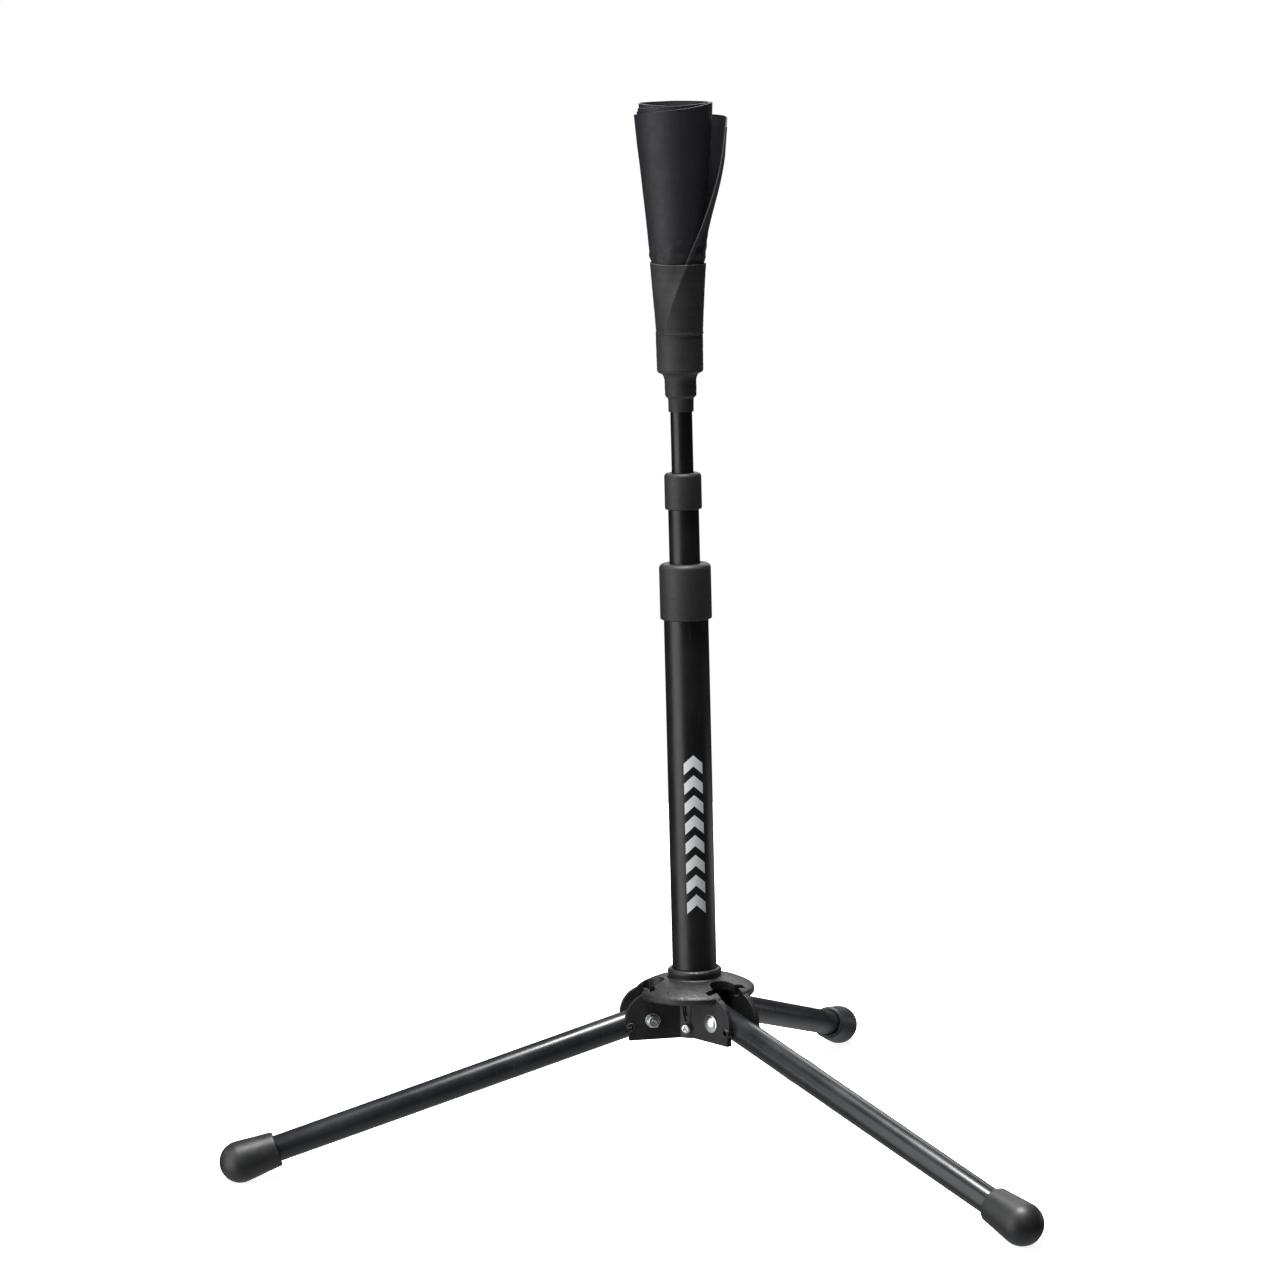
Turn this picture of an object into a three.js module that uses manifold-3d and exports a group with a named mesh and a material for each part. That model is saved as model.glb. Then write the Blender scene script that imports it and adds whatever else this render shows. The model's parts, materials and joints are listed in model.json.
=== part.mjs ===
// A folding batting tee: three legs on a moulded hub, a three-stage telescoping column
// and a rolled-sheet ball rest held on the top tube by a shrink sleeve.
// Millimetres, +Z up. The origin is the middle of the footprint, on the floor.

import * as THREE from 'three';
import { mergeVertices } from 'three/addons/utils/BufferGeometryUtils.js';
import Module from 'manifold-3d';

const wasm = await Module();
wasm.setup();

// ---------------------------------------------------------------- driving dimensions

const GAP = 0.3; // clearance between pieces that touch

// legs
const LEG_AZIMUTHS = [210, 330, 90]; // degrees
const LEG_TUBE_RADIUS = 9.5;
const LEG_WALL = 1.2;
const LEG_INNER_END = -8; // from the pivot, along the leg
const LEG_REACH = 312; // pivot to the centre of the foot's ball end
const PIVOT_RADIUS = 34;
const PIVOT_HEIGHT = 102.4;

// feet
const FOOT_BALL_RADIUS = 15;
const FOOT_FLAT_DEPTH = 0.4; // how much the floor flat takes off the ball
const FOOT_LENGTH = 43;
const FOOT_TAPER = THREE.MathUtils.degToRad(4.8);
const FOOT_FLOOR_THICKNESS = 21;
const FOOT_WASHER_THICKNESS = 1.6;

// hub
const HUB_BOTTOM = 88;
const SOCKET_RADIUS = 20;
const DOME_TOP = 129.5;
const RIM_RADIUS = 43;
const RIM_TOP = 122.4;
const RIM_BOTTOM = 117.2;
const DOME_THICKNESS = 3;
const BEAD_RADIUS = 19.6;
const BEAD_TOP = 136.5;
const CHANNEL_HALF_WIDTH = 10.3;
const WALL_THICKNESS = 4.1;
const WALL_START = 10; // the walls run into the socket
const WALL_END = 51.5; // radius of the walls' outer edge
const WALL_ARC_RADIUS = 19.85; // about the leg pivot
const LOCK_DISTANCE = 16.7; // pivot to the lock button, along the leg
const LOCK_HOLE_RADIUS = 2;
const LOCK_BOSS_RADIUS = 3.2;
const LOCK_BOSS_HEIGHT = 0.9;
const NOTCH_WIDTH = 4;
const NOTCH_DEPTH = 7;
const NOTCH_FLOOR = 116.6;

// column
const MAIN_TUBE = { radius: 16, wall: 1.5, bottom: 90.6, top: 429 };
const MID_TUBE = { radius: 11, wall: 1.2, bottom: 154.3, top: 494 };
const TOP_TUBE = { radius: 7.8, wall: 1, bottom: 236.3, top: 592 };
const LOWER_COLLAR = { radius: 18.55, bottom: 391.3, top: 431.2, topRound: 3.3, bottomRound: 1 };
const UPPER_COLLAR = { radius: 13.25, bottom: 470.2, top: 496.1, topRound: 2.6, bottomRound: 0.8 };
const BUSHING_LENGTH = 30;
const PLUG_BODY_LENGTH = 20;
const PLUG_FLANGE_LENGTH = 18;
const RING_LENGTH = 8;

// fasteners
const BOLT_RADIUS = 2.5;
const BOLT_HEAD_RADIUS = 6.5;
const BOLT_HEAD_HEIGHT = 3;
const BOLT_SQUARE = 5;
const WASHER_RADIUS = 5.4;
const WASHER_THICKNESS = 1;
const NUT_ACROSS_FLATS = 8.6;
const NUT_HEIGHT = 5;
const BOLT_STAND_OUT = 1.5;
const SCREW_HEIGHT = 95.4;
const SCREW_HEAD_RADIUS = 3.5;
const SCREW_HEAD_HEIGHT = 2.2;
const SCREW_SHANK_RADIUS = 1.5;
const SCREW_TIP = 12.6; // from the column's axis

// lock buttons and their springs
const BUTTON_RADIUS = 1.75;
const BUTTON_TIP = 10; // from the leg's axis, just short of the channel wall
const BUTTON_FLANGE_RADIUS = 2.6;
const BUTTON_BASE = 6;
const SPRING_WIDTH = 6;
const SPRING_THICKNESS = 0.7;
const SPRING_LENGTH = 30;

// ball rest
const SLEEVE_BOTTOM = 539.8;
const SLEEVE_TOP = 645.8;
const ROLL_BOTTOM = 595;
const ROLL_TOP = 757.7;
const ROLL_BOTTOM_RADIUS = 15.6;
const ROLL_SLEEVE_RADIUS = 19.1; // where the sleeve lets go of it
const ROLL_TOP_RADIUS = 29;
const ROLL_THICKNESS = 3.6; // all the layers together
const LAP_STAND_OFF = 7; // how far the loose outer lap stands proud at the top
const LAP_AZIMUTH = THREE.MathUtils.degToRad(35);
const LAP_HALF_SPREAD = THREE.MathUtils.degToRad(70);
const LAP_DROP = 10; // the lap stands off in full this far below the roll's top
const POST_RADIUS = 11.6;
const POST_FLARE = 2;
const POST_TOP = 640;

// Outlines of the moulded neck and of the sleeve shrunk over it, as [radius, height].
const NECK_OUTSIDE = [
  [9.9, 551.6],
  [9.9, 563],
  [10.7, 566],
  [14.2, 569],
  [15, 570.5],
  [15.4, ROLL_BOTTOM - 2 * GAP],
];
const SLEEVE_OUTSIDE = [
  [TOP_TUBE.radius + GAP + 1, SLEEVE_BOTTOM],
  [TOP_TUBE.radius + GAP + 1, 549.1],
  [11.2, 551],
  [11.2, 562.8],
  [12, 566],
  [15.6, 568.4],
  [16.35, 570],
  [16.8, ROLL_BOTTOM],
  [ROLL_SLEEVE_RADIUS + GAP + 0.7, SLEEVE_TOP],
];
const SLEEVE_INSIDE = [
  [TOP_TUBE.radius + GAP, SLEEVE_BOTTOM],
  [TOP_TUBE.radius + GAP, 550.3],
  [10.2, 551.2],
  [10.2, 563],
  [11.1, 566],
  [14.5, 568.7],
  [15.35, 570.2],
  [ROLL_BOTTOM_RADIUS + GAP + 0.1, ROLL_BOTTOM],
  [ROLL_SLEEVE_RADIUS + GAP, SLEEVE_TOP],
];

// facets round the circle
const FINE = 36;
const MEDIUM = 24;
const COARSE = 12;

// ---------------------------------------------------------------- derived places

const CHANNEL_OUTSIDE = CHANNEL_HALF_WIDTH + WALL_THICKNESS;
const FOOT_CENTRE_HEIGHT = FOOT_BALL_RADIUS - FOOT_FLAT_DEPTH;
const LEG_SLOPE = Math.asin((PIVOT_HEIGHT - FOOT_CENTRE_HEIGHT) / LEG_REACH);
const FOOT_REACH = PIVOT_RADIUS + LEG_REACH * Math.cos(LEG_SLOPE);
const FOOT_TIP = LEG_REACH + FOOT_BALL_RADIUS;
const LEG_OUTER_END = FOOT_TIP - FOOT_FLOOR_THICKNESS - FOOT_WASHER_THICKNESS - 2 * GAP;
const LOCK_HOLE_X = PIVOT_RADIUS + LOCK_DISTANCE * Math.cos(LEG_SLOPE);
const LOCK_HOLE_Z = PIVOT_HEIGHT - LOCK_DISTANCE * Math.sin(LEG_SLOPE);

// ---------------------------------------------------------------- materials

function plastic(color, roughness) {
  return new THREE.MeshStandardMaterial({ color, roughness, metalness: 0 });
}

function steel(color, roughness) {
  return new THREE.MeshStandardMaterial({ color, roughness, metalness: 0.9 });
}

const FINISH = {
  coat: () => new THREE.MeshStandardMaterial({ color: 0x1b1c1f, roughness: 0.35, metalness: 0.3 }),
  nylon: () => plastic(0x1a1a1b, 0.6),
  plug: () => plastic(0x2a2a2c, 0.6),
  rubber: () => plastic(0x141416, 0.85),
  sheet: () => plastic(0x1d1e22, 0.75),
  sleeve: () => plastic(0x262626, 0.8),
  zinc: () => steel(0xb9c2c9, 0.3),
  spring: () => steel(0x8b8f94, 0.35),
};

// ---------------------------------------------------------------- shape helpers

function solidOf(geometry) {
  const bare = geometry.index ? geometry.toNonIndexed() : geometry.clone();
  bare.deleteAttribute('normal');
  bare.deleteAttribute('uv');
  const welded = mergeVertices(bare, 1e-4);
  return new wasm.Manifold(new wasm.Mesh({
    numProp: 3,
    vertProperties: new Float32Array(welded.attributes.position.array),
    triVerts: new Uint32Array(welded.index.array),
  }));
}

function geometryOf(solid) {
  const { vertProperties, triVerts } = solid.getMesh();
  const geometry = new THREE.BufferGeometry();
  geometry.setAttribute('position', new THREE.BufferAttribute(new Float32Array(vertProperties), 3));
  geometry.setIndex(new THREE.BufferAttribute(new Uint32Array(triVerts), 1));
  return geometry;
}

function cut(body, ...tools) {
  return geometryOf(tools.reduce((rest, tool) => rest.subtract(solidOf(tool)), solidOf(body)));
}

function join(...pieces) {
  const [first, ...others] = pieces.map(solidOf);
  return geometryOf(others.reduce((whole, piece) => whole.add(piece), first));
}

// A turned piece on the Z axis. Points are [radius, height], anticlockwise with the radius to
// the right, starting and ending on the axis or closing on themselves.
function turned(points, segments) {
  const profile = points.map(([radius, height]) => new THREE.Vector2(Math.max(radius, 0), height));
  return new THREE.LatheGeometry(profile, segments).rotateX(Math.PI / 2);
}

function ring(inner, outer, bottom, top, segments) {
  return turned([[inner, bottom], [outer, bottom], [outer, top], [inner, top], [inner, bottom]], segments);
}

function rod(radius, bottom, top, segments) {
  return turned([[0, bottom], [radius, bottom], [radius, top], [0, top]], segments);
}

function block(x0, x1, y0, y1, z0, z1) {
  return new THREE.BoxGeometry(x1 - x0, y1 - y0, z1 - z0)
    .translate((x0 + x1) / 2, (y0 + y1) / 2, (z0 + z1) / 2);
}

// Points of a round corner about a centre, from one angle to another in degrees.
function corner(x, y, radius, from, to, steps) {
  return Array.from({ length: steps + 1 }, (_, i) => {
    const angle = THREE.MathUtils.degToRad(from + (to - from) * i / steps);
    return [x + radius * Math.cos(angle), y + radius * Math.sin(angle)];
  });
}

// An outline in the plane of X and Z, given its thickness along Y.
function slab(outline, y0, y1) {
  const shape = new THREE.Shape(outline.map(([x, z]) => new THREE.Vector2(x, z)));
  return new THREE.ExtrudeGeometry(shape, { depth: y1 - y0, bevelEnabled: false })
    .rotateX(Math.PI / 2)
    .translate(0, y1, 0);
}

// Lays a piece turned on the Z axis along another axis.
function alongX(geometry) {
  return geometry.rotateY(Math.PI / 2);
}

function alongY(geometry) {
  return geometry.rotateX(-Math.PI / 2);
}

function mesh(name, geometry, finish) {
  const piece = new THREE.Mesh(geometry, FINISH[finish]());
  piece.name = name;
  return piece;
}

// ---------------------------------------------------------------- hub

function domeProfile() {
  const outer = [
    [RIM_RADIUS - 1, RIM_BOTTOM],
    [RIM_RADIUS, RIM_BOTTOM + 1],
    [RIM_RADIUS, RIM_TOP - 1.2],
    [RIM_RADIUS - 1, RIM_TOP],
  ];
  const steps = 4;
  for (let i = 1; i <= steps; i += 1) {
    const t = i / steps;
    const radius = THREE.MathUtils.lerp(RIM_RADIUS - 1, SOCKET_RADIUS - 1, t);
    const rise = Math.sin(t * Math.PI / 2) ** 0.9;
    outer.push([radius, RIM_TOP + (DOME_TOP - RIM_TOP) * rise]);
  }
  const inner = [
    [SOCKET_RADIUS - 1, DOME_TOP - 2 * DOME_THICKNESS],
    [RIM_RADIUS - 2 * DOME_THICKNESS, RIM_BOTTOM + 2.4],
    [RIM_RADIUS - 1.6 * DOME_THICKNESS, RIM_BOTTOM],
  ];
  return [...outer, ...inner, outer[0]];
}

function socketProfile() {
  const bore = MAIN_TUBE.radius + GAP;
  return [
    [bore, HUB_BOTTOM],
    [SOCKET_RADIUS, HUB_BOTTOM],
    [SOCKET_RADIUS, DOME_TOP],
    [BEAD_RADIUS - 0.9, DOME_TOP + 1],
    ...corner(BEAD_RADIUS - 2.4, BEAD_TOP - 2.4, 2.4, -20, 90, 4),
    [bore, BEAD_TOP],
    [bore, HUB_BOTTOM],
  ];
}

// One side wall of a leg channel, in the leg's upright plane with X along the radius.
function wallOutline() {
  const arcStart = -7;
  return [
    [WALL_START, HUB_BOTTOM],
    [WALL_END, HUB_BOTTOM],
    [WALL_END, LOCK_HOLE_Z - LOCK_BOSS_RADIUS],
    ...corner(LOCK_HOLE_X, LOCK_HOLE_Z, LOCK_BOSS_RADIUS, -50, 20, 3),
    ...corner(PIVOT_RADIUS, PIVOT_HEIGHT, WALL_ARC_RADIUS, arcStart, 90, 9),
    [WALL_START, PIVOT_HEIGHT + WALL_ARC_RADIUS],
  ];
}

function channelWalls() {
  const pieces = [];
  for (const side of [-1, 1]) {
    const near = side * CHANNEL_HALF_WIDTH;
    const far = side * CHANNEL_OUTSIDE;
    const boss = side * (CHANNEL_OUTSIDE + LOCK_BOSS_HEIGHT);
    pieces.push(slab(wallOutline(), Math.min(near, far), Math.max(near, far)));
    pieces.push(alongY(rod(LOCK_BOSS_RADIUS, Math.min(near, boss), Math.max(near, boss), COARSE))
      .translate(LOCK_HOLE_X, 0, LOCK_HOLE_Z));
  }
  return pieces;
}

// What a leg's channel takes out of the hub: the slot through the dome, the bolt and lock
// holes, the square hole under the bolt's head and the notches that hold a folded leg.
function channelCuts() {
  const slotStart = PIVOT_RADIUS - 1;
  const slot = [
    ...corner(slotStart, 0, CHANNEL_HALF_WIDTH, 90, 270, 9),
    [RIM_RADIUS + 20, -CHANNEL_HALF_WIDTH],
    [RIM_RADIUS + 20, CHANNEL_HALF_WIDTH],
  ];
  const opening = new THREE.ExtrudeGeometry(
    new THREE.Shape(slot.map(([x, y]) => new THREE.Vector2(x, y))),
    { depth: BEAD_TOP + 10 - HUB_BOTTOM, bevelEnabled: false },
  ).translate(0, 0, HUB_BOTTOM - 5);
  const reach = CHANNEL_OUTSIDE + 2;
  const half = BOLT_SQUARE / 2 + GAP;
  const notch = NOTCH_WIDTH / 2;
  return [
    opening,
    alongY(rod(BOLT_RADIUS + GAP, 0, reach, COARSE)).translate(PIVOT_RADIUS, 0, PIVOT_HEIGHT),
    block(-half, half, -reach, 0, -half, half).translate(PIVOT_RADIUS, 0, PIVOT_HEIGHT),
    alongY(rod(LOCK_HOLE_RADIUS, -reach, reach, COARSE)).translate(LOCK_HOLE_X, 0, LOCK_HOLE_Z),
    block(
      PIVOT_RADIUS - notch, PIVOT_RADIUS + notch,
      -CHANNEL_HALF_WIDTH - NOTCH_DEPTH, CHANNEL_HALF_WIDTH + NOTCH_DEPTH,
      NOTCH_FLOOR, BEAD_TOP,
    ),
  ];
}

// The moulded teardrop recess over each socket screw, and the screw's hole.
function padCuts() {
  const recess = [
    ...corner(0, 103.2, 1.5, 180, 360, 4),
    [2.6, 116.4],
    [-2.6, 116.4],
  ];
  const depth = 1.4;
  const pocket = new THREE.ExtrudeGeometry(
    new THREE.Shape(recess.map(([y, z]) => new THREE.Vector2(y, z))),
    { depth: 4, bevelEnabled: false },
  ).rotateX(Math.PI / 2).rotateZ(Math.PI / 2).translate(SOCKET_RADIUS - depth, 0, 0);
  const hole = alongX(rod(SCREW_SHANK_RADIUS + GAP, 0, SOCKET_RADIUS + 5, COARSE))
    .translate(0, 0, SCREW_HEIGHT);
  return [pocket, hole];
}

function around(azimuth, geometries) {
  return geometries.map((geometry) => geometry.rotateZ(THREE.MathUtils.degToRad(azimuth)));
}

function hub() {
  const bore = rod(MAIN_TUBE.radius + GAP, HUB_BOTTOM - 5, BEAD_TOP + 5, FINE);
  const pieces = [turned(socketProfile(), FINE), turned(domeProfile(), FINE)];
  const cuts = [bore];
  for (const azimuth of LEG_AZIMUTHS) {
    pieces.push(...around(azimuth, channelWalls()));
    cuts.push(...around(azimuth, channelCuts()));
    cuts.push(...around(azimuth + 60, padCuts()));
  }
  return mesh('hub', cut(join(...pieces), ...cuts), 'nylon');
}

// ---------------------------------------------------------------- fasteners

function domedHead(radius, height) {
  const sphere = (radius ** 2 + height ** 2) / (2 * height);
  const edge = THREE.MathUtils.radToDeg(Math.asin(radius / sphere));
  return corner(0, height - sphere, sphere, 90 - edge, 90, 4);
}

function pivotBolt(name) {
  const length = 2 * CHANNEL_OUTSIDE + 2 * GAP + WASHER_THICKNESS + GAP + NUT_HEIGHT + BOLT_STAND_OUT;
  const head = turned([[0, 0], ...domedHead(BOLT_HEAD_RADIUS, BOLT_HEAD_HEIGHT)], COARSE)
    .rotateX(Math.PI);
  const neck = block(
    -BOLT_SQUARE / 2, BOLT_SQUARE / 2, -BOLT_SQUARE / 2, BOLT_SQUARE / 2, -0.5, WALL_THICKNESS - 1,
  );
  const shank = turned([
    [0, 0], [BOLT_RADIUS, 0], [BOLT_RADIUS, length - 0.6], [BOLT_RADIUS - 0.6, length], [0, length],
  ], COARSE);
  const bolt = alongY(join(head, neck, shank));
  return mesh(name, bolt.translate(PIVOT_RADIUS, -CHANNEL_OUTSIDE - GAP, PIVOT_HEIGHT), 'zinc');
}

function pivotWasher(name) {
  const start = CHANNEL_OUTSIDE + GAP;
  const washer = ring(BOLT_RADIUS + GAP, WASHER_RADIUS, start, start + WASHER_THICKNESS, COARSE);
  return mesh(name, alongY(washer).translate(PIVOT_RADIUS, 0, PIVOT_HEIGHT), 'zinc');
}

function pivotNut(name) {
  const start = CHANNEL_OUTSIDE + 2 * GAP + WASHER_THICKNESS;
  const hexagon = NUT_ACROSS_FLATS / Math.sqrt(3);
  const collar = NUT_ACROSS_FLATS / 2 - 0.4;
  const body = join(
    rod(hexagon, start, start + NUT_HEIGHT - 1.4, 6),
    turned([
      [0, start + 1], [collar, start + 1], [collar, start + NUT_HEIGHT - 0.8],
      [collar - 0.8, start + NUT_HEIGHT], [0, start + NUT_HEIGHT],
    ], COARSE),
  );
  const nut = cut(body, rod(BOLT_RADIUS + GAP, 0, start + NUT_HEIGHT + 5, COARSE));
  return mesh(name, alongY(nut).translate(PIVOT_RADIUS, 0, PIVOT_HEIGHT), 'zinc');
}

function socketScrew(name) {
  const seat = SOCKET_RADIUS + GAP;
  const body = turned([
    [0, SCREW_TIP],
    [SCREW_SHANK_RADIUS, SCREW_TIP + 1.5],
    [SCREW_SHANK_RADIUS, seat],
    [SCREW_HEAD_RADIUS, seat],
    ...corner(SCREW_HEAD_RADIUS - 1.4, seat + SCREW_HEAD_HEIGHT - 1.4, 1.4, 0, 90, 3),
    [0, seat + SCREW_HEAD_HEIGHT],
  ], COARSE);
  const depth = seat + SCREW_HEAD_HEIGHT - 1.3;
  const slots = [
    block(-1.7, 1.7, -0.4, 0.4, depth, seat + 5),
    block(-0.4, 0.4, -1.7, 1.7, depth, seat + 5),
  ];
  return mesh(name, alongX(cut(body, ...slots)).translate(0, 0, SCREW_HEIGHT), 'zinc');
}

// ---------------------------------------------------------------- legs
// A leg is built along +X from its pivot, with Y along the pivot bolt.

function legTube(name) {
  const tube = alongX(ring(
    LEG_TUBE_RADIUS - LEG_WALL, LEG_TUBE_RADIUS, LEG_INNER_END, LEG_OUTER_END, MEDIUM,
  ));
  const boltHole = alongY(rod(BOLT_RADIUS + GAP, -LEG_TUBE_RADIUS - 5, LEG_TUBE_RADIUS + 5, COARSE));
  const buttonHole = alongY(rod(BUTTON_RADIUS + GAP, -LEG_TUBE_RADIUS - 5, LEG_TUBE_RADIUS + 5, COARSE))
    .translate(LOCK_DISTANCE, 0, 0);
  return mesh(name, cut(tube, boltHole, buttonHole), 'coat');
}

function legEndPlug(name) {
  const flange = LEG_INNER_END - GAP;
  const plug = turned([
    [0, flange - 1.4],
    [LEG_TUBE_RADIUS - 1.1, flange - 1.4],
    [LEG_TUBE_RADIUS - 0.3, flange - 0.7],
    [LEG_TUBE_RADIUS - 0.3, flange],
    [LEG_TUBE_RADIUS - LEG_WALL - GAP, flange],
    [LEG_TUBE_RADIUS - LEG_WALL - GAP, flange + 4.2],
    [0, flange + 4.2],
  ], COARSE);
  return mesh(name, alongX(plug), 'plug');
}

function foot(name) {
  const bore = LEG_TUBE_RADIUS + GAP;
  const mouth = FOOT_TIP - FOOT_LENGTH;
  const tangent = LEG_REACH - FOOT_BALL_RADIUS * Math.sin(FOOT_TAPER);
  const widest = FOOT_BALL_RADIUS * Math.cos(FOOT_TAPER);
  const mouthRadius = widest - (tangent - mouth) * Math.tan(FOOT_TAPER);
  const round = 1.5;
  const floor = FOOT_TIP - FOOT_FLOOR_THICKNESS;
  const body = alongX(turned([
    [0, floor],
    [bore, floor],
    [bore, mouth],
    ...corner(mouthRadius - round, mouth + round, round, -90, 0, 3),
    ...corner(0, LEG_REACH, FOOT_BALL_RADIUS, -THREE.MathUtils.radToDeg(FOOT_TAPER), 90, 8),
  ], MEDIUM));
  const ground = block(-60, 60, -60, 60, -60, 0)
    .translate(0, 0, -FOOT_CENTRE_HEIGHT)
    .rotateY(-LEG_SLOPE)
    .translate(LEG_REACH, 0, 0);
  return mesh(name, cut(body, ground), 'rubber');
}

function footWasher(name) {
  const start = LEG_OUTER_END + GAP;
  const washer = ring(3, LEG_TUBE_RADIUS - 0.2, start, start + FOOT_WASHER_THICKNESS, COARSE);
  return mesh(name, alongX(washer), 'zinc');
}

// A hairpin strip whose two arms press the lock buttons outwards.
function snapSpring(name) {
  const armAt = BUTTON_BASE - GAP - SPRING_THICKNESS / 2;
  const bend = LOCK_DISTANCE + SPRING_LENGTH;
  const bendRadius = 3.2;
  const start = LOCK_DISTANCE - 3.5;
  const straight = LOCK_DISTANCE + 3.5;
  const points = [
    [start, armAt],
    [straight, armAt],
    ...corner(bend, 0, bendRadius, 90, -90, 6),
    [straight, -armAt],
    [start, -armAt],
  ];
  const half = SPRING_THICKNESS / 2;
  const offset = (side) => points.map(([x, y], i) => {
    const [ax, ay] = points[Math.max(i - 1, 0)];
    const [bx, by] = points[Math.min(i + 1, points.length - 1)];
    const length = Math.hypot(bx - ax, by - ay);
    return new THREE.Vector2(x - side * half * (by - ay) / length, y + side * half * (bx - ax) / length);
  });
  const strip = new THREE.Shape([...offset(1), ...offset(-1).reverse()]);
  const geometry = new THREE.ExtrudeGeometry(strip, { depth: SPRING_WIDTH, bevelEnabled: false })
    .translate(0, 0, -SPRING_WIDTH / 2);
  return mesh(name, geometry, 'spring');
}

function snapButton(name, side) {
  const shoulder = BUTTON_TIP - 1;
  const flangeTop = BUTTON_BASE + 0.9;
  const button = alongY(turned([
    [0, BUTTON_BASE],
    [BUTTON_FLANGE_RADIUS, BUTTON_BASE],
    [BUTTON_FLANGE_RADIUS, flangeTop],
    [BUTTON_RADIUS, flangeTop],
    ...corner(BUTTON_RADIUS - 1, shoulder, 1, 0, 90, 2),
    [0, BUTTON_TIP],
  ], COARSE));
  if (side < 0) {
    button.rotateZ(Math.PI);
  }
  return mesh(name, button.translate(LOCK_DISTANCE, 0, 0), 'zinc');
}

// Adds a leg and the fasteners that hold it at one azimuth of the hub.
function leg(number, azimuth) {
  const station = new THREE.Group();
  station.rotation.z = THREE.MathUtils.degToRad(azimuth);
  station.add(
    pivotBolt(`pivot_bolt_${number}`),
    pivotWasher(`pivot_washer_${number}`),
    pivotNut(`pivot_nut_${number}`),
  );
  const swinging = new THREE.Group();
  swinging.position.set(PIVOT_RADIUS, 0, PIVOT_HEIGHT);
  swinging.rotation.y = LEG_SLOPE;
  swinging.add(
    legTube(`leg_tube_${number}`),
    legEndPlug(`leg_end_plug_${number}`),
    foot(`foot_${number}`),
    footWasher(`foot_washer_${number}`),
    snapSpring(`snap_spring_${number}`),
    snapButton(`snap_button_${number}_left`, 1),
    snapButton(`snap_button_${number}_right`, -1),
  );
  station.add(swinging);
  return station;
}

// ---------------------------------------------------------------- column

function mainTube() {
  const tube = ring(
    MAIN_TUBE.radius - MAIN_TUBE.wall, MAIN_TUBE.radius, MAIN_TUBE.bottom, MAIN_TUBE.top, FINE,
  );
  const holes = LEG_AZIMUTHS.flatMap((azimuth) => around(azimuth + 60, [
    alongX(rod(SCREW_SHANK_RADIUS + GAP, 0, SOCKET_RADIUS + 5, COARSE)).translate(0, 0, SCREW_HEIGHT),
  ]));
  return mesh('main_tube', cut(tube, ...holes), 'coat');
}

function plainTube(name, { radius, wall, bottom, top }, segments) {
  return mesh(name, ring(radius - wall, radius, bottom, top, segments), 'coat');
}

function endCap() {
  const inside = MAIN_TUBE.radius - MAIN_TUBE.wall - GAP;
  return mesh('main_tube_end_cap', turned([
    [0, HUB_BOTTOM + 0.3],
    [MAIN_TUBE.radius - 1, HUB_BOTTOM + 0.3],
    [MAIN_TUBE.radius, HUB_BOTTOM + 1],
    [MAIN_TUBE.radius, MAIN_TUBE.bottom - GAP],
    [inside, MAIN_TUBE.bottom - GAP],
    [inside, MAIN_TUBE.bottom + 2.4],
    [0, MAIN_TUBE.bottom + 2.4],
  ], MEDIUM), 'plug');
}

// A collar over the end of one tube, closing in at its top to the next tube inside.
function collar(name, size, outerTube, innerTube, segments) {
  const { radius, bottom, top, topRound, bottomRound } = size;
  const bore = outerTube.radius + GAP;
  const mouth = innerTube.radius + GAP;
  const shelf = outerTube.top + GAP;
  return mesh(name, turned([
    [bore, bottom],
    ...corner(radius - bottomRound, bottom + bottomRound, bottomRound, -90, 0, 2),
    ...corner(radius - topRound, top - topRound, topRound, 0, 90, 4),
    [mouth, top],
    [mouth, shelf],
    [bore, shelf],
    [bore, bottom],
  ], segments), 'nylon');
}

function bushing(name, outerTube, innerTube, segments) {
  const top = outerTube.top - GAP;
  const outer = outerTube.radius - outerTube.wall - GAP;
  return mesh(name, ring(innerTube.radius + GAP, outer, top - BUSHING_LENGTH, top, segments), 'plug');
}

// The plug in a sliding tube's lower end, with a groove for the rubber ring that grips
// the inside of the tube around it.
function frictionParts(stage, innerTube, outerTube, segments) {
  const body = innerTube.radius - innerTube.wall - GAP;
  const flange = outerTube.radius - outerTube.wall - 2.5 * GAP;
  const grip = outerTube.radius - outerTube.wall - GAP;
  const groove = grip - 2.6;
  const top = innerTube.bottom - GAP;
  const bottom = top - PLUG_FLANGE_LENGTH;
  const grooveBottom = (top + bottom - RING_LENGTH) / 2 - GAP;
  const grooveTop = (top + bottom + RING_LENGTH) / 2 + GAP;
  const plug = turned([
    [0, bottom],
    [flange - 1, bottom],
    [flange, bottom + 1],
    [flange, grooveBottom],
    [groove, grooveBottom],
    [groove, grooveTop],
    [flange, grooveTop],
    [flange, top],
    [body, top],
    [body, top + PLUG_BODY_LENGTH],
    [0, top + PLUG_BODY_LENGTH],
  ], segments);
  const rubber = ring(groove + GAP, grip, grooveBottom + GAP, grooveTop - GAP, segments);
  return [
    mesh(`${stage}_friction_plug`, plug, 'plug'),
    mesh(`${stage}_friction_ring`, rubber, 'rubber'),
  ];
}

// ---------------------------------------------------------------- ball rest

function neckAdapter() {
  const bore = TOP_TUBE.radius + GAP;
  return mesh('neck_adapter', turned([
    [0, TOP_TUBE.top + GAP],
    [bore, TOP_TUBE.top + GAP],
    [bore, NECK_OUTSIDE[0][1]],
    ...NECK_OUTSIDE,
    [POST_RADIUS, ROLL_BOTTOM - 2 * GAP],
    [POST_RADIUS + POST_FLARE, POST_TOP],
    [0, POST_TOP],
  ], MEDIUM), 'plug');
}

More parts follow.
